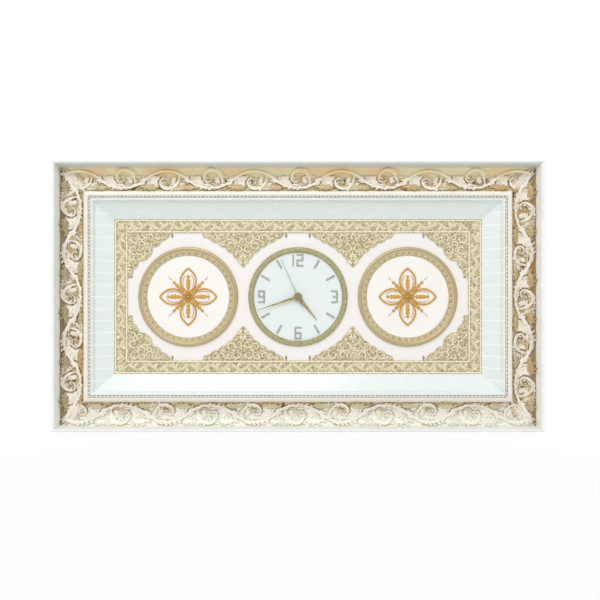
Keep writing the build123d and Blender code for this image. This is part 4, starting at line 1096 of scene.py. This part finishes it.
def lace_scroll(relief, centre, radius, spin, turn, height):
    """A scroll that opens to one side, with leaf lobes on its back and a small leaf in its mouth."""
    angles = np.array([0, 60, 120, 180, 240, 300, 360, 410]) * spin + turn
    radii = np.array([1.0, 0.96, 0.9, 0.8, 0.66, 0.5, 0.36, 0.26]) * (radius - 0.7)
    line = winding(centre, angles, radii, 24)
    width = min(1.0, radius / 6) * np.interp(np.linspace(0, 1, 24), [0, 0.35, 1], [0.8, 1.7, 0.7])
    relief.add(stroke(line, width, height, 5))
    for step in range(5):
        base, ahead = line[2 + 3 * step], line[3 + 3 * step]
        outward, forward = unit(base - centre), unit(ahead - base)
        bend = base + (outward * 0.26 + forward * 0.12) * radius
        tip = base + (outward * 0.3 + forward * 0.42) * radius
        relief.taper([base, bend, tip], radius * 0.15, height * 0.8, 0.5 if step % 2 else 0.0, 6, floor=0.2)
    out = toward(turn - 40 * spin) * radius
    relief.taper([centre, centre + out * 0.5, centre + out], radius * 0.2, height, 0.9, 7, 0.35, 0.06)


def lace_bud(relief, centre, radius, turn, height):
    """A small three-lobed leaf, or a plain bud where there is no room for one."""
    if radius < 2.0:
        relief.add(bud(centre, radius, height * 0.8, 4), 0.35)
        return
    for lobe in (-70, 0, 70):
        reach = toward(turn + lobe) * radius
        line = [centre - reach * 0.3, centre + reach * 0.4, centre + reach]
        relief.taper(line, radius * 0.4, height * 0.85, 0.05, 6, 0.55, 0.2)


def lace_edge(relief, outline, height):
    """Small beads along the scalloped edge of an ornament."""
    gap = np.linalg.norm(np.roll(outline, -1, axis=0) - outline, axis=1)
    line = outline[gap > 0.05]
    inner = outline.mean(axis=0) - line
    inset = line + inner / np.linalg.norm(inner, axis=1, keepdims=True) * 0.5
    for first, second in zip(inset, np.roll(inset, -1, axis=0)):
        pieces = max(int(np.linalg.norm(second - first) / BEAD_PITCH), 1)
        for piece in range(pieces):
            centre = first + (second - first) * (piece + 0.5) / pieces
            relief.add(bud(centre, BEAD_RADIUS, height * 0.55, 4), 0.15)


def lace_palmette(relief, outline, axis, height):
    """A palmette in the point of a middle ornament. Returns the place it takes up."""
    rows = outline[:, 1]
    tip_row = rows.min() if abs(rows.min()) < abs(rows.max()) else rows.max()
    way = np.array([0.0, np.sign(rows.mean() - tip_row)])
    foot = np.array([axis, tip_row]) + way * 7.0
    heading = 90.0 * way[1]
    fan(relief, foot, heading, 6, 60.0, 21.0, 1.9, height, 0.0)
    fan(relief, foot, heading, 3, 14.0, 17.0, 2.0, height * 1.2, 1.0)
    fan(relief, foot + way * 14.0, heading, 5, 70.0, 13.0, 1.7, height * 1.1, 0.05)
    relief.add(bud(foot, 2.6, height * 1.2, 5), 1.0)
    relief.taper([foot, foot - way * 5.5], 1.6, height, 1.0, 5, 0.35, 0.06)
    return foot + way * 12.0, 13.0


def lace_plate(relief, node, settings, axis):
    """Fills one ornament with scrolls, leaves and buds inside a beaded edge, mirrored about any axis."""
    outline = front_outline(node)
    height = settings.relief / MM
    lace_edge(relief, outline, height)
    taken = [] if axis is None else [lace_palmette(relief, outline, axis, height)]
    places = fill_places(outline, settings.scroll / MM, settings.smallest / MM, axis, taken)
    for number, (centre, radius) in enumerate(places):
        spin = 1 if number % 2 else -1
        turn = 90.0 + 67.0 * number
        twins = [(centre, spin, turn)]
        if axis is not None and centre[0] - axis > ON_AXIS:
            twins.append((np.array([2 * axis - centre[0], centre[1]]), -spin, 180.0 - turn))
        for place, hand, start in twins:
            if radius > LEAST_SCROLL:
                lace_scroll(relief, place, radius, hand, start, height)
            else:
                lace_bud(relief, place, radius, start, height)


class CLOCK_OT_lay_lacework(bpy.types.Operator):
    """Lay the strapwork on the border and the lacework on the corner and middle ornaments"""

    bl_idname = "clock.lay_lacework"
    bl_label = "Lay Lacework"

    def execute(self, context):
        settings = context.scene.clock_lace
        finish = context.scene.clock_finish
        # The ground's dark gold between the lace strokes is partly painted shade
        ground = plain_finish(
            "pale_gilt_ground", srgb(152, 136, 96), finish.pale_gold, 130.0, 0.6, 1500.0, 0.38, 0.55,
            0.00008, metallic=0.15, rubbed=finish.lace,
        )
        gilt = gilded_finish(
            "lace_gilding", finish.lace, finish.pale_gold, srgb(172, 156, 94), srgb(120, 104, 64), 320.0,
            second_flank=srgb(190, 182, 116),
        )
        dress([f"border_{side}" for side in SIDES], ground)
        straps = Relief(flat_level(BORDER_LEVEL), sharpness=1.6)
        for side in SIDES:
            self.strap_side(straps, side, settings)
        straps.make("border_strapwork", gilt)
        for across in ("left", "right"):
            for up in ("upper", "lower"):
                for kind in ("corner", "middle"):
                    node = f"{kind}_ornament_{up}_{across}"
                    dress([node], ground)
                    relief = Relief(flat_level(ORNAMENT_LEVEL), sharpness=1.6)
                    lace_plate(relief, node, settings, width_of(node)[0] if kind == "middle" else None)
                    relief.make(f"{kind}_lacework_{up}_{across}", gilt)
        self.hang_finials()
        return {"FINISHED"}

    def strap_side(self, relief, side, settings):
        """One side of the border: a cord on each raised line, and leaves that lean to and fro between them.

        The level sides have a flower at each end.
        """
        low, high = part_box(f"border_{side}")
        long_way, short_way = (0, 2) if side in LEVEL_SIDES else (2, 0)
        length = (high[long_way] - low[long_way]) / MM
        width = (high[short_way] - low[short_way]) / MM
        middle = (low[short_way] + high[short_way]) / 2 - (DIAL_CENTRE if short_way else 0.0)
        deep = (HALF_HEIGHT if short_way else HALF_WIDTH) - abs(middle) / MM
        place = rail_place(side)
        height = settings.strap_relief / MM
        reach = length / 2 - width
        count = int(round(2 * reach / (settings.strap_pitch / MM)))
        pitch = 2 * reach / count

        def laid(along, across):
            return np.stack(place(along, deep + across), axis=-1)

        cords = ((width / 2 - INNER_CORD[0], INNER_CORD[1]), (OUTER_CORD[0] - width / 2, OUTER_CORD[1]))
        for offset, half_width in cords:
            end = length / 2 - (width / 2 + offset)
            along = np.linspace(-end, end, count * 8 + 1)
            twist = 0.94 + 0.06 * np.cos(4 * np.pi * along / pitch)
            cord = laid(along, np.full(along.shape, offset))
            relief.add(stroke(cord, half_width * twist, 1.6 * twist, 5))
        for number in range(count):
            centre = -reach + (number + 0.5) * pitch
            lean = width if number % 2 else -width
            for line, wide, tall, lobes, tint, steps in STRAP_LEAVES:
                along, across = np.array(line).T
                line = laid(centre + along * pitch, across * lean)
                leaf(relief, line, wide, height * tall, lobes, tint, steps)
            for (along, across), radius, tint in STRAP_BUDS:
                relief.add(bud(laid(centre + along * pitch, across * lean), radius, height, 5), tint)
        if side in LEVEL_SIDES:
            for end in (width / 2 - length / 2, length / 2 - width / 2):
                self.corner_flower(relief, laid(end, 0.0), width, height)

    def corner_flower(self, relief, centre, width, height):
        """Eight petals round a bud, where two sides of the border meet."""
        for petal in range(8):
            tip = centre + toward(45 * petal) * width * (0.36 if petal % 2 else 0.28)
            relief.taper([centre, (centre + tip) / 2, tip], 1.9, height, 0.1, 7, 0.55, 0.2)
        relief.add(bud(centre, 2.4, height * 1.2), 0.8)

    def hang_finials(self):
        """Small dark buds that stand on the panel along the border's inner edge."""
        relief = Relief(flat_level(PANEL_LEVEL))
        medallion = abs(width_of("medallion_ring_left")[0])
        right = abs(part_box("border_left")[1][0]) / MM
        top = (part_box("border_top")[0][2] - DIAL_CENTRE) / MM
        columns = [x + step for x in (-medallion, medallion) for step in (-RING_FINIALS, RING_FINIALS)]
        columns += [-DIAL_FINIALS, DIAL_FINIALS]
        for up in (-1, 1):
            spots = [((x, up * top), (0, -up)) for x in columns]
            spots += [((across * right, up * SIDE_FINIALS), (-across, 0)) for across in (-1, 1)]
            for start, way in np.array(spots):
                relief.taper([start - way, start + way * FINIAL_LENGTH], 3.0, 1.2, 0.6, 8, 0.6, 0.45)
        grey = gilded_finish(
            "finial_patina", srgb(160, 158, 138), srgb(138, 134, 112), srgb(150, 140, 96), srgb(104, 98, 76)
        )
        relief.make("border_finials", grey)


# Medallions

# The wreath of a ring: how far in from its outer edge the cord and the leaves lie, and how many leaves
CORD_LINE, WREATH_LINE, WREATH_LEAVES = 9.3, 10.5, 84

# The inner slope of a ring: where it starts in from the outer edge, its height there and its slope
BAND_FOOT, BAND_HEIGHT, RING_SLOPE = 8.5, 3.6, 0.15


def rosette(relief, centre):
    """Four open loops with a ribbed leaf in each, small leaves between them and a flower in the middle."""
    for quarter in range(4):
        ahead, diagonal = toward(90 * quarter), toward(90 * quarter + 45)
        for aside in (-left_of(ahead), left_of(ahead)):
            loop = [centre + ahead * x + aside * y for x, y in ((9, 0), (22, 22), (44, 22), (60, 0))]
            relief.add(stroke(curve(loop, 24), 2.1, 2.6, 7, 0.3), 0.6)
            tendril = [centre + ahead * x + aside * y for x, y in ((22, 9), (30, 13), (40, 12), (45, 6))]
            relief.taper(tendril, 0.9, 1.6, 0.9, 12, floor=0.2)
        leaf(relief, [centre + ahead * reach for reach in (12, 24, 36, 47)], 5.0, 2.6, 4, 1.0, 16)
        leaf(relief, [centre + diagonal * reach for reach in (10, 22, 34, 49)], 4.6, 2.3, 4, 0.8, 16)
        for reach, radius in ((53.0, 1.8), (57.5, 1.2)):
            relief.add(bud(centre + diagonal * reach, radius, 1.6, 5), 0.8)
    for petal in range(12):
        out = toward(30 * petal)
        relief.taper([centre + out * reach for reach in (3, 7, 11)], 2.4, 3.2, 0.7, 8, 0.6, 0.3)
    relief.add(bud(centre, 4.0, 4.2), 1.0)


class CLOCK_OT_dress_medallions(bpy.types.Operator):
    """Lay a wreath on the medallion rings and set a rosette in each medallion"""

    bl_idname = "clock.dress_medallions"
    bl_label = "Dress Medallions"

    def execute(self, context):
        finish = context.scene.clock_finish
        dress(["medallion_ring_left", "medallion_ring_right"], plain_finish(
            "ring_gilding", finish.ring, srgb(186, 158, 118), 22.0, 0.75, 1800.0, 0.32, 0.5, 0.00006,
            metallic=0.45, rubbed=finish.lace,
        ))
        dress(["medallion_disc_left", "medallion_disc_right"], plain_finish(
            "medallion_satin", srgb(250, 247, 242), srgb(243, 238, 229), 24.0, rough=0.42
        ))
        wreath_gold = gilded_finish(
            "wreath_gilding", srgb(238, 226, 186), srgb(164, 148, 102), srgb(132, 114, 68),
            srgb(98, 82, 50), 260.0,
        )
        amber = gilded_finish(
            "amber_gilding", finish.amber, srgb(178, 128, 40), srgb(216, 172, 84), srgb(128, 88, 24), 220.0
        )
        for name in ("left", "right"):
            middle, outer = width_of(f"medallion_ring_{name}")
            centre = np.array([middle, 0.0])
            self.lay_wreath(name, centre, outer, wreath_gold)
            relief = Relief(flat_level(-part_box(f"medallion_disc_{name}")[0][1] / MM))
            rosette(relief, centre)
            piece = relief.make(f"rosette_carving_{name}", amber)
            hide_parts(f"rosette_{name}")
        return {"FINISHED"}

    def lay_wreath(self, name, centre, outer, material):
        """A cord inside the raised band of a ring, and small leaves and seeds down its inner slope."""

        def level(x, y):
            radius = np.hypot(x - centre[0], y - centre[1])
            return PANEL_LEVEL + BAND_HEIGHT + (radius - outer + BAND_FOOT) * RING_SLOPE

        relief = Relief(level, sharpness=1.5)
        cord = centre + (outer - CORD_LINE) * toward(np.linspace(0, 360, 145)).T
        relief.add(stroke(cord, 0.9, 0.9, 5))
        for number in range(WREATH_LEAVES):
            out = toward(360 * number / WREATH_LEAVES)
            aside = left_of(out) * (1 if number % 2 else -1)
            first = centre + out * (outer - WREATH_LINE)
            line = [first, first - out * 2.5 + aside * 2.6, first - out * 7.0 + aside * 1.2]
            relief.taper(line, 1.5, 1.1, 0.1, 8, 0.45)
            relief.add(bud(first - out * 4.6 - aside * 1.4, 0.95, 1.0, 4), 0.9)
        relief.make(f"ring_wreath_{name}", material)


# Slip, panel, dial and movement


class CLOCK_OT_finish_panel(bpy.types.Operator):
    """Finish the sloping slip and the face panel"""

    bl_idname = "clock.finish_panel"
    bl_label = "Finish Panel"

    def execute(self, context):
        finish = context.scene.clock_finish
        slip = (finish.mint, srgb(224, 235, 231), 0.16, 0.3, 0.35)
        # The upright slips get a painted highlight along their grooves
        grooved = board_finish("grooved_slip_lacquer", *slip, groove=srgb(254, 255, 254))
        dress(["slip_rail_top", "slip_rail_bottom"], board_finish("slip_lacquer", *slip))
        dress(["slip_rail_left", "slip_rail_right"], grooved)
        dress(["face_panel"], board_finish("panel_satin", finish.panel, srgb(241, 239, 237), 0.3, 0.42))
        return {"FINISHED"}


class CLOCK_OT_finish_dial(bpy.types.Operator):
    """Finish the dial, its ring, the figures and the hands"""

    bl_idname = "clock.finish_dial"
    bl_label = "Finish Dial"

    def execute(self, context):
        finish = context.scene.clock_finish
        dress(["dial"], plain_finish("dial_satin", finish.dial, srgb(227, 237, 236), 30.0, rough=0.4))
        dress(["clock_ring"], plain_finish(
            "clock_ring_gilding", srgb(166, 161, 124), srgb(142, 137, 102), 70.0, 0.7, 1400.0,
            metallic=0.5, rubbed=srgb(222, 212, 160),
        ))
        dress(["dial_numerals", "hour_bars"], plain_finish(
            "figure_enamel", finish.figure, srgb(172, 172, 162), 150.0, 0.7, rough=0.5,
            metallic=0.2, rubbed=srgb(208, 204, 190),
        ))
        dress(["hour_hand", "minute_hand"], plain_finish(
            "hand_gold", finish.hand, srgb(118, 102, 54), 200.0, 0.8, smooth=0.25, rough=0.42,
            metallic=0.7, rubbed=srgb(214, 196, 130),
        ))
        dress(["second_hand"], plain_finish(
            "second_hand_gold", srgb(156, 149, 108), srgb(132, 122, 80), 240.0, 0.8, smooth=0.25, rough=0.4,
            metallic=0.6,
        ))
        return {"FINISHED"}


class CLOCK_OT_finish_movement(bpy.types.Operator):
    """Finish the movement, the cell and the hardware on the back"""

    bl_idname = "clock.finish_movement"
    bl_label = "Finish Movement"

    def execute(self, context):
        hardware = ["hanger_plates", "hanger_screws", "mitre_wedges", "slip_points", "panel_points"]
        dress([*hardware, "mounting_washer", "stator"], brushed_finish(
            "zinc_steel", srgb(190, 192, 196), srgb(158, 162, 166), (1.0, 6.0, 12.0)
        ))
        dress(["contact_positive", "contact_negative"], brushed_finish(
            "nickel_spring", srgb(214, 210, 200), srgb(184, 180, 170), (1.0, 1.0, 8.0), 0.22
        ))
        dress(["mounting_nut"], brushed_finish(
            "turned_brass", srgb(214, 182, 106), srgb(176, 140, 70), (2.0, 10.0, 2.0)
        ))
        dress(["coil"], brushed_finish(
            "coil_copper", srgb(206, 118, 66), srgb(150, 74, 36), (30.0, 1.0, 1.0), 0.28
        ))
        dress(["quartz_crystal"], brushed_finish(
            "crystal_tin", srgb(214, 216, 220), srgb(186, 188, 194), (1.0, 3.0, 3.0), 0.15
        ))
        dress(["movement_case", "movement_cover", "setting_knob"], plain_finish(
            "movement_black", srgb(42, 42, 44), srgb(54, 54, 56), 60.0, 0.6, 2600.0, 0.42, 0.62, 0.00005,
            rubbed=srgb(86, 86, 88),
        ))
        wheels = ["hour_wheel", "centre_wheel", "second_wheel", "third_wheel", "intermediate_wheel"]
        dress([*wheels, "motion_work_wheel", "rotor"], plain_finish(
            "wheel_acetal", srgb(238, 236, 226), srgb(228, 224, 208), 180.0, smooth=0.35, rough=0.5
        ))
        dress(["circuit_board"], plain_finish(
            "board_mask", srgb(38, 104, 58), srgb(56, 128, 72), 500.0, 0.7, smooth=0.2, rough=0.35
        ))
        dress(["battery"], plain_finish(
            "cell_jacket", srgb(58, 72, 92), srgb(70, 84, 106), 120.0, 0.6, smooth=0.18, rough=0.3,
            metallic=0.4, coat=0.3, rubbed=srgb(168, 172, 178),
        ))
        return {"FINISHED"}


# Studio


class CLOCK_OT_set_stage(bpy.types.Operator):
    """Set up the floor, the lamp, the surrounding light and the camera"""

    bl_idname = "clock.set_stage"
    bl_label = "Set Stage"

    def execute(self, context):
        settings = context.scene.clock_stage
        context.scene.view_settings.view_transform = "Standard"
        self.lay_floor(settings)
        self.surround(context.scene, settings)
        self.hang_lamp(settings)
        self.place_camera(context.scene, settings)
        return {"FINISHED"}

    def lay_floor(self, settings):
        """A wide round floor that reads as white but keeps the clock's shadow."""
        x, y = FLOOR_RADIUS * toward(np.linspace(0, 360, FLOOR_CORNERS, endpoint=False))
        height = np.full(x.shape, DIAL_CENTRE - settings.floor_drop)
        mesh = bpy.data.meshes.new("studio_floor")
        mesh.from_pydata(np.stack([x, y, height], axis=1).tolist(), [], [list(range(FLOOR_CORNERS))])
        material, tree, shader = new_finish("studio_white")
        colour = mottled(tree, srgb(240, 240, 240), srgb(232, 232, 232), 3.0, 0.5)
        feed_all(tree, shader, {"Base Color": colour, "Roughness": 0.9})
        rays = add_node(tree, "LightPath")
        seen = calculate(tree, "MAXIMUM", rays["Is Camera Ray"], rays["Is Glossy Ray"])
        glow = add_node(tree, "Emission", {"Color": (1.0, 1.0, 1.0), "Strength": 1.0})[0]
        mix = add_node(tree, "MixShader", {0: product(tree, seen, 0.92), 1: shader.outputs[0], 2: glow})[0]
        feed(tree, tree.nodes["Material Output"].inputs["Surface"], mix)
        mesh.materials.append(material)
        new_object("studio_floor", mesh)

    def surround(self, scene, settings):
        """Even light that is a little stronger from above, with pure white behind the clock."""
        world = bpy.data.worlds.new("studio_light")
        scene.world = world
        world.use_nodes = True
        tree = world.node_tree
        upward = split(tree, "TexCoord", "Generated")[2]
        strength = spread(tree, upward, -0.7, 0.9, settings.ambient * 0.55, settings.ambient * 1.25)
        rays = add_node(tree, "LightPath")
        seen = calculate(tree, "MAXIMUM", rays["Is Camera Ray"], rays["Is Transmission Ray"])
        shiny = calculate(tree, "MAXIMUM", seen, product(tree, rays["Is Glossy Ray"], 0.6))
        pale = product(tree, strength, calculate(tree, "SUBTRACT", 1.0, shiny))
        light = {"Strength": calculate(tree, "ADD", pale, shiny), "Color": (1.0, 1.0, 1.0)}
        feed_all(tree, tree.nodes["Background"], light)

    def hang_lamp(self, settings):
        """A large soft lamp above, which points at the dial."""
        lamp = bpy.data.lights.new("key_lamp", "AREA")
        lamp.size = KEY_SIZE
        lamp.energy = settings.key
        holder = new_object("key_lamp", lamp)
        holder.location = KEY_PLACE
        x, y, z = np.array([0.0, 0.0, DIAL_CENTRE]) - KEY_PLACE
        holder.rotation_euler = (np.arctan2(np.hypot(x, y), -z), 0.0, np.arctan2(-x, y))

    def place_camera(self, scene, settings):
        """Looks straight at the clock from a little to the right of its middle."""
        camera = bpy.data.cameras.new("camera")
        camera.lens = settings.lens
        camera.sensor_width = 36.0
        camera.clip_start = 0.01
        holder = new_object("camera", camera)
        holder.location = (CAMERA_RIGHT, clock_low[1] - settings.distance, DIAL_CENTRE - CAMERA_DOWN)
        holder.rotation_euler = (np.pi / 2, 0.0, 0.0)
        scene.camera = holder


OPERATORS = (
    CLOCK_OT_set_stage,
    CLOCK_OT_carve_moulding,
    CLOCK_OT_string_pearls,
    CLOCK_OT_finish_panel,
    CLOCK_OT_lay_lacework,
    CLOCK_OT_dress_medallions,
    CLOCK_OT_finish_dial,
    CLOCK_OT_finish_movement,
)
SETTINGS = {
    "clock_carving": CarvingSettings, "clock_lace": LaceSettings, "clock_finish": FinishSettings,
    "clock_stage": StageSettings,
}


class CLOCK_PT_workshop(bpy.types.Panel):
    """Sizes, colours and steps of the clock"""

    bl_idname = "CLOCK_PT_workshop"
    bl_label = "Framed Wall Clock"
    bl_space_type = "VIEW_3D"
    bl_region_type = "UI"
    bl_category = "Clock"

    def draw(self, context):
        for name, group in SETTINGS.items():
            box = self.layout.box()
            for label in group.__annotations__:
                box.prop(getattr(context.scene, name), label)
        for operator in OPERATORS:
            self.layout.operator(operator.bl_idname)


CLASSES = (*SETTINGS.values(), *OPERATORS, CLOCK_PT_workshop)


def register():
    for item in CLASSES:
        bpy.utils.register_class(item)
    for name, group in SETTINGS.items():
        setattr(bpy.types.Scene, name, PointerProperty(type=group))


def unregister():
    for name in SETTINGS:
        delattr(bpy.types.Scene, name)
    for item in reversed(CLASSES):
        bpy.utils.unregister_class(item)


def main():
    register()
    bpy.ops.clock.set_stage()
    bpy.ops.clock.carve_moulding()
    bpy.ops.clock.string_pearls()
    bpy.ops.clock.finish_panel()
    bpy.ops.clock.lay_lacework()
    bpy.ops.clock.dress_medallions()
    bpy.ops.clock.finish_dial()
    bpy.ops.clock.finish_movement()


if __name__ == "__main__":
    main()
